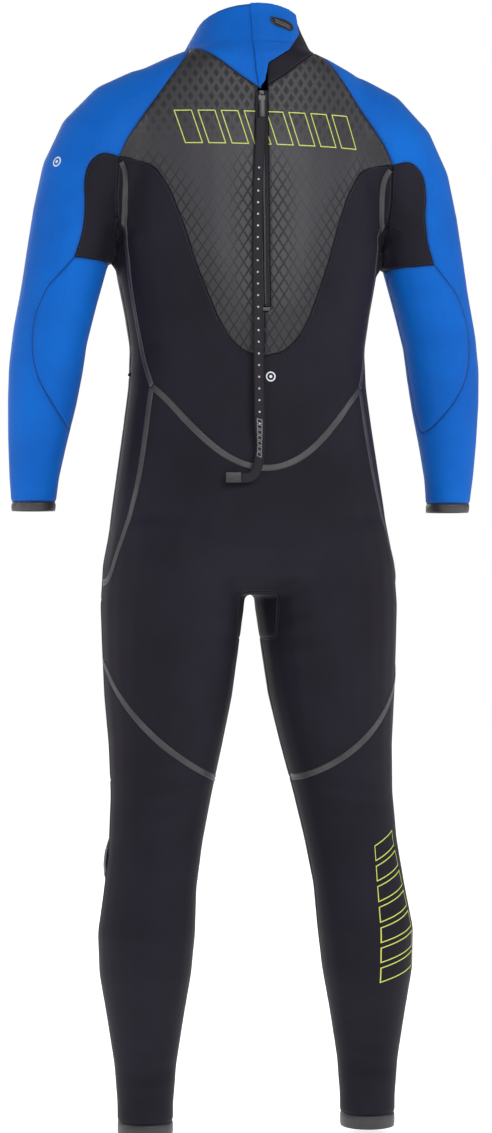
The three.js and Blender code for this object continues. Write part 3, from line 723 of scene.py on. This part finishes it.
def bump(net, height, distance, strength=1.0, under=None):
    made = net.node("ShaderNodeBump")
    net.put(strength, made.inputs["Strength"])
    net.put(distance, made.inputs["Distance"])
    net.put(height, made.inputs["Height"])
    if under is not None:
        net.put(under, made.inputs["Normal"])
    return made.outputs[0]


LIME, PRINT_WHITE = rgb(196, 205, 92), rgb(214, 218, 222)
CALF_MIDDLE = (-0.146, 0.058)      # x and y of the middle of the right calf
CALF_RADIUS = 0.056
CALF_BAND_TOP, BACK_BAND_START, BACK_BAND_HEIGHT = -1.082, -0.128, -0.163
ARM_SPOT, LUMBAR_SPOT = (0.276, -0.202), (-0.008, -0.484)    # x and z of the two printed rings
STRAP_BARS_AT = 0.392              # how far down the leash its printed bars begin


def jersey(name, colour, dark, light, roughness, sheen, marks=()):
    made, net, shader = new_material(name)
    place = net.place()
    knit = net.group(GROUPS["knit"], Vector=place)
    seam = net.group(GROUPS["seam"])
    tone = net.mix(net.step(knit["Tone"], 0.3, 0.7), dark, light)
    base = net.mix(0.45, tone, colour)
    # Painted shade beside the seams: the colour darkens towards them.
    base = net.mix(net.times(seam["Seam Shade"], 0.18), base, dark)
    shade = tuple(c * 0.4 for c in colour[:3]) + (1.0,)
    base = net.mix(net.times(seam["Line"], 0.6), base, shade)
    for mask, paint in (mark(net, place) for mark in marks):
        base = net.mix(mask, base, paint)
    net.put(base, shader["Base Color"])
    fill(shader, {"Roughness": roughness, "Sheen Weight": sheen, "Sheen Roughness": 0.5,
                  "Specular IOR Level": 0.12})
    normal = bump(net, knit["Height"], 0.00012, 0.5)
    net.put(bump(net, seam["Height"], GROOVE_DEPTH, 0.7, normal), shader["Normal"])
    return made


def surface_ring(net, place, spot_at, size):
    """A printed ring on the suit's back nearest to x and z, lying in the surface there."""
    x, z = spot_at
    spot, face = skin.find_nearest(Vector((x, 0.05, z)))[:2]
    across = Vector((0, 0, 1)).cross(face).normalized()
    offset = net.node("ShaderNodeVectorMath", operation="SUBTRACT")
    net.put(place, offset.inputs[0])
    offset.inputs[1].default_value = spot
    measures = []
    for way in (across, face.cross(across), face):
        part = net.node("ShaderNodeVectorMath", operation="DOT_PRODUCT")
        net.put(offset.outputs[0], part.inputs[0])
        part.inputs[1].default_value = way
        measures.append(part.outputs["Value"])
    across, up, out = measures
    return net.group(GROUPS["ring"], Across=across, Up=up, Out=out, Size=size)["Mask"], PRINT_WHITE


def arm_mark(net, place):
    return surface_ring(net, place, ARM_SPOT, 0.014)


def lumbar_mark(net, place):
    return surface_ring(net, place, LUMBAR_SPOT, 0.013)


def calf_band(net, place):
    """The printed band round the outside of the right calf, measured along and around the leg."""
    x, y, z = net.split(place)
    along = net.minus(CALF_BAND_TOP, z)
    out = net.minus(CALF_MIDDLE[0], x)
    turn = net.math("ARCTAN2", net.minus(y, CALF_MIDDLE[1]), out)
    around = net.times(net.minus(turn, 1.0), CALF_RADIUS)
    bars = net.group(GROUPS["slats"], U=along, V=around, Length=0.182, Width=0.06, Count=7.0, Line=0.0009)
    return net.times(bars["Mask"], net.math("LESS_THAN", x, 0.0)), LIME


def back_band(net, place):
    """The printed band across the shoulder blades."""
    x, _, z = net.split(place)
    along = net.plus(x, -BACK_BAND_START)
    across = net.plus(z, -BACK_BAND_HEIGHT)
    bars = net.group(GROUPS["slats"], U=along, V=across, Length=0.238, Width=0.046, Count=8.0, Line=0.0008)
    return bars["Mask"], LIME


def embossed_skin():
    made, net, shader = new_material("embossed skin")
    place = net.place()
    seam = net.group(GROUPS["seam"])
    relief = net.group(GROUPS["diamonds"], Vector=place)
    slow = net.noise(place, 7.0, 3.0)
    base = net.mix(net.step(slow, 0.3, 0.7), rgb(40, 38, 43), rgb(51, 49, 54))
    # Painted shade: the emboss's sunken cells and outlines are painted near-black.
    base = net.mix(net.times(relief["Groove"], 0.85), base, rgb(17, 16, 19))
    base = net.mix(net.times(seam["Line"], 0.7), base, rgb(20, 20, 22))
    mask, paint = back_band(net, place)
    base = net.mix(net.times(mask, 0.92), base, paint)
    net.put(base, shader["Base Color"])
    rough = net.plus(net.times(relief["Groove"], 0.2), 0.42)
    net.put(rough, shader["Roughness"])
    shader["Specular IOR Level"].default_value = 0.35
    normal = bump(net, relief["Height"], 0.0006, 0.8)
    normal = bump(net, net.noise(place, 900.0), 0.0001, 0.35, normal)
    net.put(bump(net, seam["Height"], GROOVE_DEPTH, 0.7, normal), shader["Normal"])
    return made


def rubber(name, low, high, roughness, coat=0.0, grain_scale=260.0, depth=0.0003):
    """Smooth moulded or poured rubber with a soft unevenness."""
    made, net, shader = new_material(name)
    place = net.place()
    slow = net.noise(place, 22.0, 3.0)
    net.put(net.mix(net.step(slow, 0.35, 0.65), low, high), shader["Base Color"])
    wear = net.noise(place, 60.0, 3.0)
    rough = net.plus(net.times(wear, 0.18), roughness - 0.09)
    net.put(rough, shader["Roughness"])
    fill(shader, {"Coat Weight": coat, "Coat Roughness": 0.3})
    net.put(bump(net, net.noise(place, grain_scale), depth, 0.5), shader["Normal"])
    return made


def webbing():
    """Woven strap: ribs across it and a darker edge, from its own lengthways and crossways measure."""
    made, net, shader = new_material("woven webbing")
    uv = net.node("ShaderNodeUVMap", uv_map="strap").outputs[0]
    u, v, _ = net.split(uv)
    rib = net.math("SINE", net.times(u, 2 * math.pi / 0.0016))
    pick = net.math("SINE", net.times(v, 2 * math.pi / 0.0013))
    weave = net.times(rib, pick)
    edge = net.step(net.absolute(v), 0.0042, 0.0052)
    base = net.mix(net.step(weave, -0.6, 0.6), rgb(24, 22, 26), rgb(50, 48, 54))
    base = net.mix(net.times(edge, 0.5), base, rgb(20, 19, 22))
    bars = net.group(GROUPS["slats"], U=net.minus(u, STRAP_BARS_AT), V=v, Length=0.05, Width=0.0064,
                     Count=7.0, Line=0.0007)
    base = net.mix(bars["Mask"], base, rgb(132, 133, 138))
    net.put(base, shader["Base Color"])
    fill(shader, {"Roughness": 0.75, "Specular IOR Level": 0.2})
    net.put(bump(net, weave, 0.0003, 0.7), shader["Normal"])
    return made


def badge_rubber():
    """Moulded badge with a raised rim and two raised bars."""
    made, net, shader = new_material("moulded badge")
    place = net.place()
    x, _, z = net.split(place)
    low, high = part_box("flap_badge")
    middle = (low + high) / 2
    right, up = net.minus(x, middle.x), net.minus(z, middle.z)
    slant = net.absolute(net.minus(up, net.times(right, 0.3)))
    bars = net.times(net.step(slant, 0.0024, 0.0018), net.step(slant, 0.0006, 0.0012))
    bars = net.times(bars, net.step(net.absolute(right), 0.011, 0.0105))
    base = net.mix(bars, rgb(16, 16, 19), rgb(92, 94, 98))
    net.put(base, shader["Base Color"])
    shader["Roughness"].default_value = 0.32
    net.put(bump(net, bars, 0.0004, 0.8), shader["Normal"])
    return made


# ---- pieces
def settle(obj, body, look, *nodes):
    """Dresses a finished piece, and says what it rides on and which CAD nodes it stands for."""
    if "seam" not in obj.data.attributes:
        far = obj.data.attributes.new("seam", "FLOAT", "POINT")
        far.data.foreach_set("value", [1.0] * len(obj.data.vertices))
    obj.data.materials.clear()
    obj.data.materials.append(LOOKS[look])
    obj.data.shade_smooth()
    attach(obj, body)
    if nodes:
        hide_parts(*nodes)
    return obj


def baked(obj):
    """The same object with its modifiers worked into its mesh."""
    done = evaluated(obj)
    obj.modifiers.clear()
    obj.data = done
    return obj


# Soft folds seen from behind: (x, z) at both ends, height and width in metres; mirrored to the other side.
FOLDS = [
    ((0.07, -1.012), (0.165, -1.030), 0.0013, 0.007),
    ((0.085, -1.045), (0.150, -1.058), 0.0010, 0.008),
    ((0.080, -0.975), (0.150, -0.990), 0.0009, 0.008),
    ((0.020, -0.815), (0.085, -0.795), 0.0014, 0.008),
    ((0.025, -0.845), (0.100, -0.835), 0.0011, 0.009),
    ((0.175, -0.245), (0.130, -0.300), 0.0012, 0.008),
    ((0.178, -0.275), (0.145, -0.345), 0.0010, 0.009),
    ((0.205, -0.235), (0.255, -0.265), 0.0012, 0.008),
    ((0.215, -0.275), (0.270, -0.315), 0.0010, 0.009),
    ((0.215, -0.430), (0.275, -0.445), 0.0012, 0.008),
    ((0.220, -0.465), (0.280, -0.490), 0.0010, 0.008),
    ((0.250, -0.585), (0.300, -0.598), 0.0009, 0.007),
    ((0.115, -1.360), (0.180, -1.372), 0.0010, 0.007),
    ((0.118, -1.395), (0.182, -1.400), 0.0009, 0.007),
]


def crease(co, normals):
    """Raises the soft folds out of the surface."""
    lift = np.zeros(len(co))
    flat = co[:, [0, 2]]
    facing = np.clip(normals[:, 1] * 1.6, 0, 1)
    for sign in (1, -1):
        for start, end, height, width in FOLDS:
            a = np.array([start[0] * sign, start[1]])
            way = np.array([end[0] * sign, end[1]]) - a
            along = np.clip((flat - a).dot(way) / way.dot(way), 0, 1)
            gap = np.linalg.norm(flat - a - along[:, None] * way, axis=1)
            taper = np.sin(np.pi * np.clip(along * 0.9 + 0.05, 0, 1))
            wave = np.exp(-(gap / width) ** 2) - 0.35 * np.exp(-((gap - 2 * width) / width) ** 2)
            lift += height * taper * wave * facing
    return lift


shell = Shell(body_surface())
rim = KDTree(int(shell.on_seam.sum()))
for number, place in enumerate(shell.co[shell.on_seam]):
    rim.insert(place, number)
rim.balance()
shell.gap = np.array([rim.find(place)[2] for place in shell.co])
groove = GROOVE_DEPTH * np.exp(-(shell.gap / GROOVE_WIDTH) ** 2)
shell.co += shell.normals * (crease(shell.co, shell.normals) - groove)[:, None]
skin = BVHTree.FromPolygons(shell.co.tolist(), shell.quads.tolist())

LOOKS = {
    "blue_jersey": jersey("blue jersey", rgb(0, 90, 182), rgb(0, 78, 162), rgb(0, 103, 199),
                          0.62, 0.03, [arm_mark]),
    "black_jersey": jersey("black jersey", rgb(25, 22, 32), rgb(19, 16, 25), rgb(31, 28, 39),
                           0.6, 0.02, [lumbar_mark, calf_band]),
    "embossed_skin": embossed_skin(),
    "liquid_tape": rubber("poured seam tape", rgb(40, 38, 42), rgb(54, 52, 56), 0.45, 0.05),
    "smooth_rubber": rubber("smooth rubber", rgb(40, 38, 41), rgb(54, 51, 54), 0.45, 0.05),
    "zip_plastic": rubber("moulded zip plastic", rgb(20, 20, 23), rgb(30, 30, 34), 0.35, 0.2, 500.0, 0.0001),
    "webbing": webbing(),
    "badge": badge_rubber(),
}
THREAD_BLUE = rubber("blue thread", rgb(6, 84, 170), rgb(20, 104, 196), 0.7)
THREAD_BLACK = rubber("black thread", rgb(52, 50, 58), rgb(70, 68, 76), 0.7)
EYELET_DOT = rubber("reflective dot", rgb(150, 150, 158), rgb(176, 176, 184), 0.4)


def look_of(name):
    for look, names in (("blue_jersey", BLUE_PANELS), ("embossed_skin", SKIN_PANELS),
                        ("smooth_rubber", RUBBER_RINGS)):
        if name in names:
            return look
    return "black_jersey"


for name in PANELS:
    mesh, used = shell.panel(name)
    gap = mesh.attributes.new("seam", "FLOAT", "POINT")
    gap.data.foreach_set("value", shell.gap[used])
    obj = new_object("cloth_" + name, mesh)
    modify(obj, "wall", "SOLIDIFY", thickness=WALL, offset=-1, use_even_offset=False)
    settle(baked(obj), "suit", look_of(name), name)
    low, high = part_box(name)


# ---- strips that follow the body
def surface_line(indices, node):
    """A seam's points inside a node's box, in order, smoothed and laid on the body."""
    low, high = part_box(node)
    points = shell.co[indices]
    beside = (points > np.array(low) - 0.004) & (points < np.array(high) + 0.004)
    inside = np.flatnonzero(beside.all(axis=1))
    points = smooth_line(points[inside[0]:inside[-1] + 1], TAPE_ROUNDS)
    return even_line(points, points, 0.004)[0]


def strip_mesh(name, points, half, height, root, faces=None):
    """A strip with a rounded top along points. It lies on the body unless its outward ways are given."""
    across = np.array([-1, -0.94, -0.8, -0.5, 0, 0.5, 0.8, 0.94, 1])
    bulge = height * np.array([0.15, 0.55, 0.85, 1, 1, 1, 0.85, 0.55, 0.15])
    way = unit(np.gradient(points, axis=0))
    verts, top, uvs = [], len(across), []
    laid = faces is None
    if laid:
        hits = [skin.find_nearest(point) for point in points]
        points = np.array([hit[0] for hit in hits])
        faces = unit(smooth_line(np.array([hit[1] for hit in hits]), 8))
    length = lengths_along(points)
    for i, (point, run) in enumerate(zip(points, way)):
        face = faces[i]
        side = np.cross(face, run)
        side /= np.linalg.norm(side)
        upper, lower = [], []
        for k in range(top):
            spot = point + side * across[k] * half
            if laid:
                near = skin.ray_cast(Vector(spot + face * 0.006), Vector(-face), 0.012)
                spot = spot if near[0] is None else np.array(near[0])
            upper.append(spot + face * bulge[k])
            lower.append(spot - face * root)
        verts += upper + lower[::-1]
        uvs += [(length[i], a * half) for a in across] + [(length[i], a * half) for a in across[::-1]]
    ring = 2 * top
    quads = []
    for i in range(len(points) - 1):
        for k in range(ring):
            m = (k + 1) % ring
            quads.append((i * ring + k, (i + 1) * ring + k, (i + 1) * ring + m, i * ring + m))
    last = (len(points) - 1) * ring
    quads.append(tuple(range(ring)))
    quads.append(tuple(last + k for k in reversed(range(ring))))
    mesh = closed_mesh(name, [tuple(v) for v in verts], quads)
    layer = mesh.uv_layers.new(name="strap")
    for loop in mesh.loops:
        layer.data[loop.index].uv = uvs[loop.vertex_index]
    return new_object(name, mesh)


TAPES = {}
for side in SIDES:
    TAPES[f"side_tape_{side}"] = (f"side_panel_{side}", "lower_back_panel")
    TAPES[f"hip_tape_{side}"] = (f"side_panel_{side}", "seat_panel")
    TAPES[f"knee_tape_{side}"] = ("seat_panel", f"calf_panel_{side}")
TAPES["lumbar_tape"] = ("seat_panel", "lower_back_panel")
for node, pair in TAPES.items():
    points = surface_line(max(shell.seam(*pair), key=len), node)
    half = TAPE_HALF[node.split("_")[0]]
    settle(strip_mesh("poured_" + node, points, half, TAPE_HEIGHT, TAPE_ROOT), "suit", "liquid_tape", node)


# ---- small parts from their CAD shapes
def copied(node):
    """A merged copy of a CAD node as an object of its own."""
    points, faces = node_arrays([node])
    return new_object("made_" + node, closed_mesh(node, points.tolist(), faces.tolist(), 0.00002))


def moulded(node, grain, rounds):
    """A soft or thin piece with its facets evened out and its edges rounded."""
    obj = copied(node)
    modify(obj, "remesh", "REMESH", mode="VOXEL", voxel_size=grain)
    modify(obj, "ease", "SMOOTH", factor=0.5, iterations=rounds)
    return baked(obj)


def bevelled(node, width):
    obj = copied(node)
    modify(obj, "edge", "BEVEL", width=width, segments=3, limit_method="ANGLE", angle_limit=math.radians(35))
    return baked(obj)


flap = moulded("collar_flap", 0.0009, 10)
flap_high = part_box("collar_flap")[1].x
for vertex in flap.data.vertices:
    near = min(max((vertex.co.x - flap_high + FLAP_TAPER) / FLAP_TAPER, 0.0), 1.0)
    vertex.co -= vertex.co.xy.to_3d().normalized() * FLAP_SINK * near * near
settle(flap, "collar_flap", "blue_jersey", "collar_flap")
settle(moulded("flap_badge", 0.0004, 5), "collar_flap", "badge", "flap_badge")
settle(moulded("hook_pad", 0.0005, 3), "collar_flap", "webbing", "hook_pad")
settle(moulded("loop_pad", 0.0005, 3), "suit", "webbing", "loop_pad")
settle(moulded("neck_seal", 0.0013, 8), "suit", "smooth_rubber", "neck_seal")
settle(moulded("zip_baffle", 0.0013, 4), "suit", "black_jersey", "zip_baffle")
for side in SIDES:
    settle(moulded(f"wrist_seal_{side}", 0.0013, 6), "suit", "smooth_rubber", f"wrist_seal_{side}")
    pad = settle(moulded(f"knee_pad_{side}", 0.0018, 12), "suit", "smooth_rubber", f"knee_pad_{side}")
settle(bevelled("zip_slider", 0.0004), "zip_slider", "zip_plastic", "zip_slider")
settle(bevelled("pull_tab", 0.0004), "pull_and_leash", "zip_plastic", "pull_tab")
settle(bevelled("zip_top_stop", 0.0003), "suit", "zip_plastic", "zip_top_stop")
settle(bevelled("zip_bottom_stop", 0.0003), "suit", "zip_plastic", "zip_bottom_stop")
leash_end = settle(bevelled("leash_end", 0.0006), "pull_and_leash", "zip_plastic", "leash_end")


# ---- zip and leash
# The zip's own frame: down the slide joint's way, out of the back across it.
slide = next(joint for joint in frame["joints"] if joint["name"] == "zip_slide")
ZIP_DOWN = Vector(slide["axis"]).normalized()
ZIP_OUT = Vector((0, -ZIP_DOWN.z, ZIP_DOWN.y))
ZIP_TOP = Vector((0, 0.088, -0.114))


def zip_point(x, out, down):
    return ZIP_TOP + Vector((x, 0, 0)) + ZIP_OUT * out + ZIP_DOWN * down


def zip_span(node):
    """The middle of a node across the zip, and its length down the zip."""
    low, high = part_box(node)
    return (low.x + high.x) / 2, (high.z - low.z) / abs(ZIP_DOWN.z)


def curve_through(knots, pitch):
    """Points an even distance apart on a smooth line through the knots."""
    knots = np.array(knots, dtype=float)
    padded = np.vstack([2 * knots[0] - knots[1], knots, 2 * knots[-1] - knots[-2]])
    fine = []
    for a, b, c, d in zip(padded, padded[1:], padded[2:], padded[3:]):
        for t in np.linspace(0, 1, 24, endpoint=False):
            fine.append(0.5 * (2 * b + (c - a) * t + (2 * a - 5 * b + 4 * c - d) * t * t
                               + (3 * b - a - 3 * c + d) * t ** 3))
    fine.append(knots[-1])
    return even_line(np.array(fine), np.array(fine), pitch)[0]


# The leash's route: to the side, out from the zip, down from the top of the zip, in metres.
LEASH_ROUTE = [
    (0.002, 0.0031, 0.036), (0.003, 0.0033, 0.060), (0.005, 0.0034, 0.090), (0.007, 0.0035, 0.130),
    (0.008, 0.0036, 0.175), (0.009, 0.0036, 0.220), (0.009, 0.0036, 0.265), (0.009, 0.0036, 0.310),
    (0.009, 0.0036, 0.350), (0.009, 0.0036, 0.385), (0.009, 0.0036, 0.420), (0.009, 0.0037, 0.450),
    (0.010, 0.0040, 0.474), (0.013, 0.0046, 0.490), (0.019, 0.0052, 0.501), (0.027, 0.0054, 0.504),
    (0.034, 0.0054, 0.504),
]
route = curve_through([zip_point(*knot) for knot in LEASH_ROUTE], ROUTE_STEP)
# Near its end the strap twists part of the way onto its edge, and stands off the suit by as much.
along = np.arange(len(route)) * ROUTE_STEP
twist = TWIST_ANGLE * np.exp(-((along - TWIST_AT) / TWIST_REACH) ** 2)
route += np.array(ZIP_OUT) * (TWIST_LIFT * np.sin(twist) / math.sin(TWIST_ANGLE))[:, None]
outward = np.array([Matrix.Rotation(turn, 3, ZIP_DOWN) @ ZIP_OUT for turn in twist])
leash = strip_mesh("woven_leash", route, LEASH_WIDTH / 2, LEASH_THICK / 2, LEASH_THICK / 2, outward)
settle(leash, "pull_and_leash", "webbing", "leash")
for side in SIDES:
    middle, down = zip_span(f"zip_tape_{side}")
    points = curve_through([zip_point(middle, -CHAIN_SINK, t * down) for t in (0.0, 0.5, 1.0)], 0.006)
    faces = np.tile(np.array(ZIP_OUT), (len(points), 1))
    tape = strip_mesh(f"woven_zip_tape_{side}", points, 0.0025, 0.0006, 0.0006, faces)
    settle(tape, "suit", "webbing", f"zip_tape_{side}")


# ---- things that repeat
def repeater(name, kind):
    """A node tree that puts one small shape on every point, turned by the point's own two ways."""
    tree = bpy.data.node_groups.new(name, "GeometryNodeTree")
    sizes = ("Length", "Width", "Height")
    tree.interface.new_socket("Geometry", in_out="INPUT", socket_type="NodeSocketGeometry")
    for key in sizes:
        tree.interface.new_socket(key, in_out="INPUT", socket_type="NodeSocketFloat")
    tree.interface.new_socket("Seed", in_out="INPUT", socket_type="NodeSocketInt").default_value = 7
    tree.interface.new_socket("Material", in_out="INPUT", socket_type="NodeSocketMaterial")
    tree.interface.new_socket("Geometry", in_out="OUTPUT", socket_type="NodeSocketGeometry")
    nodes, link = tree.nodes, tree.links.new
    given, out = nodes.new("NodeGroupInput"), nodes.new("NodeGroupOutput")
    size = nodes.new("ShaderNodeCombineXYZ")
    for k, key in enumerate(sizes):
        link(given.outputs[key], size.inputs[k])
    if kind == "ball":
        shape = nodes.new("GeometryNodeMeshIcoSphere")
        fill(shape.inputs, {"Radius": 0.5, "Subdivisions": 1})
    elif kind == "disc":
        shape = nodes.new("GeometryNodeMeshCylinder")
        fill(shape.inputs, {"Vertices": 16, "Radius": 0.5, "Depth": 1.0})
    else:
        shape = nodes.new("GeometryNodeMeshCube")
    way, face = (nodes.new("GeometryNodeInputNamedAttribute") for _ in range(2))
    for node, key in ((way, "way"), (face, "face")):
        node.data_type = "FLOAT_VECTOR"
        node.inputs["Name"].default_value = key
    first, second = (nodes.new("FunctionNodeAlignRotationToVector") for _ in range(2))
    first.axis, second.axis, second.pivot_axis = "X", "Z", "X"
    link(way.outputs["Attribute"], first.inputs["Vector"])
    link(first.outputs[0], second.inputs["Rotation"])
    link(face.outputs["Attribute"], second.inputs["Vector"])
    vary = nodes.new("FunctionNodeRandomValue")
    vary.data_type = "FLOAT_VECTOR"
    vary.inputs[0].default_value = (0.94, 0.94, 0.94)
    vary.inputs[1].default_value = (1.06, 1.06, 1.06)
    link(given.outputs["Seed"], vary.inputs["Seed"])
    scale = nodes.new("ShaderNodeVectorMath")
    scale.operation = "MULTIPLY"
    link(size.outputs[0], scale.inputs[0])
    link(vary.outputs[0], scale.inputs[1])
    each = nodes.new("GeometryNodeInstanceOnPoints")
    link(given.outputs["Geometry"], each.inputs["Points"])
    link(shape.outputs[0], each.inputs["Instance"])
    link(second.outputs[0], each.inputs["Rotation"])
    link(scale.outputs[0], each.inputs["Scale"])
    real, paint = nodes.new("GeometryNodeRealizeInstances"), nodes.new("GeometryNodeSetMaterial")
    link(each.outputs[0], real.inputs[0])
    link(real.outputs[0], paint.inputs["Geometry"])
    link(given.outputs["Material"], paint.inputs["Material"])
    link(paint.outputs[0], out.inputs[0])
    return tree


def repeat(name, tree, points, ways, faces, size, material):
    """One mesh of the tree's shape on every point."""
    mesh = bpy.data.meshes.new(name)
    mesh.from_pydata([tuple(p) for p in points], [], [])
    for key, values in (("way", ways), ("face", faces)):
        layer = mesh.attributes.new(key, "FLOAT_VECTOR", "POINT")
        layer.data.foreach_set("vector", np.array(values, dtype=float).ravel())
    obj = new_object(name, mesh)
    maker = obj.modifiers.new("repeat", "NODES")
    maker.node_group = tree
    values = dict(zip(("Length", "Width", "Height"), size), Material=material)
    for item in tree.interface.items_tree:
        if item.in_out == "INPUT" and item.name in values:
            maker[item.identifier] = values[item.name]
    obj.update_tag()
    return baked(obj)


STITCH_TREE = repeater("stitch row", "ball")
TOOTH_TREE = repeater("zip teeth", "block")
DOT_TREE = repeater("leash dots", "disc")


def stitch_rows(pairs):
    """Points, ways and outward ways of two stitch rows along every seam of these pairs of panels."""
    points, ways, faces = [], [], []
    for pair in pairs:
        for line in shell.seam(*pair):
            base = even_line(smooth_line(shell.co[line], 5), shell.normals[line], STITCH_PITCH)[0]
            run = unit(np.gradient(base, axis=0))
            for row in (-1, 1):
                for point, way in zip(base[1:-1], run[1:-1]):
                    near = skin.find_nearest(point)
                    side = near[1].cross(Vector(way)).normalized() * row * STITCH_OFFSET
                    spot, face = skin.find_nearest(near[0] + side)[:2]
                    points.append(spot + face * 0.0001)
                    ways.append(way)
                    faces.append(face)
    return points, ways, faces


taped = [set(pair) for pair in TAPES.values()]
pairs = [p for p in shell.pairs if set(p) not in taped and not any(n in RUBBER_RINGS for n in p)]
blue = [p for p in pairs if p[0] in BLUE_PANELS and p[1] in BLUE_PANELS]
black = [p for p in pairs if p not in blue]
for name, group, thread in (("blue_stitches", blue, THREAD_BLUE), ("black_stitches", black, THREAD_BLACK)):
    points, ways, faces = stitch_rows(group)
    obj = repeat(name, STITCH_TREE, points, ways, faces, STITCH_SIZE, thread)
    obj.data.shade_smooth()
    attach(obj, "suit")
# The flap's free edge, seen from behind: (x, z) in metres.
FLAP_EDGE = [(-0.057, -0.034), (-0.038, -0.059), (-0.009, -0.078), (-0.004, -0.102), (0.001, -0.109)]
flap_points, flap_faces = node_arrays(["collar_flap"])
flap_tree = BVHTree.FromPolygons(flap_points.tolist(), flap_faces.tolist())
edge = curve_through([(x, 0.0, z) for x, z in FLAP_EDGE], STITCH_PITCH)
run = unit(np.gradient(edge, axis=0))
points, ways, faces = [], [], []
for inset in FLAP_ROWS:
    for spot, way in zip(edge, run):
        x, z = spot[0] - way[2] * inset, spot[2] + way[0] * inset
        hit = flap_tree.ray_cast(Vector((x, 0.3, z)), Vector((0, -1, 0)), 0.4)
        if hit[0] is not None:
            points.append(hit[0] + hit[1] * 0.0001)
            ways.append(way)
            faces.append(hit[1])
obj = repeat("flap_stitches", STITCH_TREE, points, ways, faces, FLAP_STITCH_SIZE, THREAD_BLUE)
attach(obj, "collar_flap")
for side, shift in zip(SIDES, (0.5, 0)):
    middle, down = zip_span(f"zip_chain_{side}")
    count = int(down / TOOTH_PITCH)
    spots = [zip_point(middle, -CHAIN_SINK, CHAIN_START + (k + shift) * TOOTH_PITCH) for k in range(count)]
    teeth = repeat(f"teeth_{side}", TOOTH_TREE, spots, [ZIP_DOWN] * count, [ZIP_OUT] * count,
                   TOOTH_SIZE, LOOKS["zip_plastic"])
    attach(teeth, "suit")
    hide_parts(f"zip_chain_{side}")
dots = route[FIRST_DOT:LAST_DOT + 1:DOT_EVERY] + np.array(ZIP_OUT) * (LEASH_THICK / 2)
ways, faces = [ZIP_DOWN] * len(dots), [ZIP_OUT] * len(dots)
obj = repeat("leash_dots", DOT_TREE, dots, ways, faces, DOT_SIZE, EYELET_DOT)
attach(obj, "pull_and_leash")


# ---- stage, camera and light
low, high = cad_box
FLOOR = low[2] - FLOOR_GAP
floor_mesh = bpy.data.meshes.new("floor")
floor_mesh.from_pydata([(-9, -9, FLOOR), (9, -9, FLOOR), (9, 9, FLOOR), (-9, 9, FLOOR)], [], [(0, 1, 2, 3)])
floor = new_object("floor", floor_mesh)
paper, net, shader = new_material("pale floor")
net.put(net.mix(net.noise(net.place(), 3.0), (0.86, 0.86, 0.86, 1), (0.9, 0.9, 0.9, 1)), shader["Base Color"])
fill(shader, {"Roughness": 0.9, "Specular IOR Level": 0.0, "Emission Color": (1, 1, 1, 1),
              "Emission Strength": 0.75})
floor.data.materials.append(paper)

AZIMUTH = math.radians(168)
DISTANCE, LENS = 3.67, 88.0
target = Vector((0.002, 0.0, (low[2] + high[2]) / 2))
lens = bpy.data.cameras.new("camera")
lens.lens = LENS
lens.sensor_width = 36
lens.clip_start, lens.clip_end = 0.05, 40
camera = new_object("camera", lens)
camera.location = target + DISTANCE * Vector((math.sin(AZIMUTH), -math.cos(AZIMUTH), 0))
camera.rotation_euler = (target - camera.location).to_track_quat("-Z", "Y").to_euler()
bpy.context.scene.camera = camera


def soft_light(name, azimuth, elevation, distance, size, power):
    """A square soft light round the object, facing its middle."""
    lamp = bpy.data.lights.new(name, "AREA")
    lamp.shape = "RECTANGLE"
    lamp.size, lamp.size_y = size
    lamp.energy = power
    obj = new_object(name, lamp)
    a, e = math.radians(azimuth), math.radians(elevation)
    way = Vector((math.sin(a) * math.cos(e), -math.cos(a) * math.cos(e), math.sin(e)))
    obj.location = target + way * distance
    obj.rotation_euler = (-way).to_track_quat("-Z", "Y").to_euler()


ROOM_LIGHT = 0.42
soft_light("key", 195, 30, 3.2, (1.6, 1.6), 36)
soft_light("fill", 135, 18, 3.2, (1.8, 2.2), 14)
soft_light("rim_left", 250, 12, 2.8, (0.7, 2.2), 12)
soft_light("rim_right", 80, 12, 2.8, (0.7, 2.2), 12)
soft_light("front", 15, 20, 3.4, (2.0, 2.0), 26)

world = bpy.data.worlds.new("white room")
world.use_nodes = True
sky = Net(world.node_tree)
room = world.node_tree.nodes["Background"]
fill(room.inputs, {"Color": (1, 1, 1, 1), "Strength": ROOM_LIGHT})
backdrop = sky.node("ShaderNodeBackground")
backdrop.inputs["Color"].default_value = (1, 1, 1, 1)
both = sky.node("ShaderNodeMixShader")
sky.put(sky.node("ShaderNodeLightPath").outputs["Is Camera Ray"], both.inputs[0])
sky.put(room.outputs[0], both.inputs[1])
sky.put(backdrop.outputs[0], both.inputs[2])
sky.put(both.outputs[0], world.node_tree.nodes["World Output"].inputs["Surface"])
bpy.context.scene.world = world
bpy.context.scene.view_settings.view_transform = "Standard"
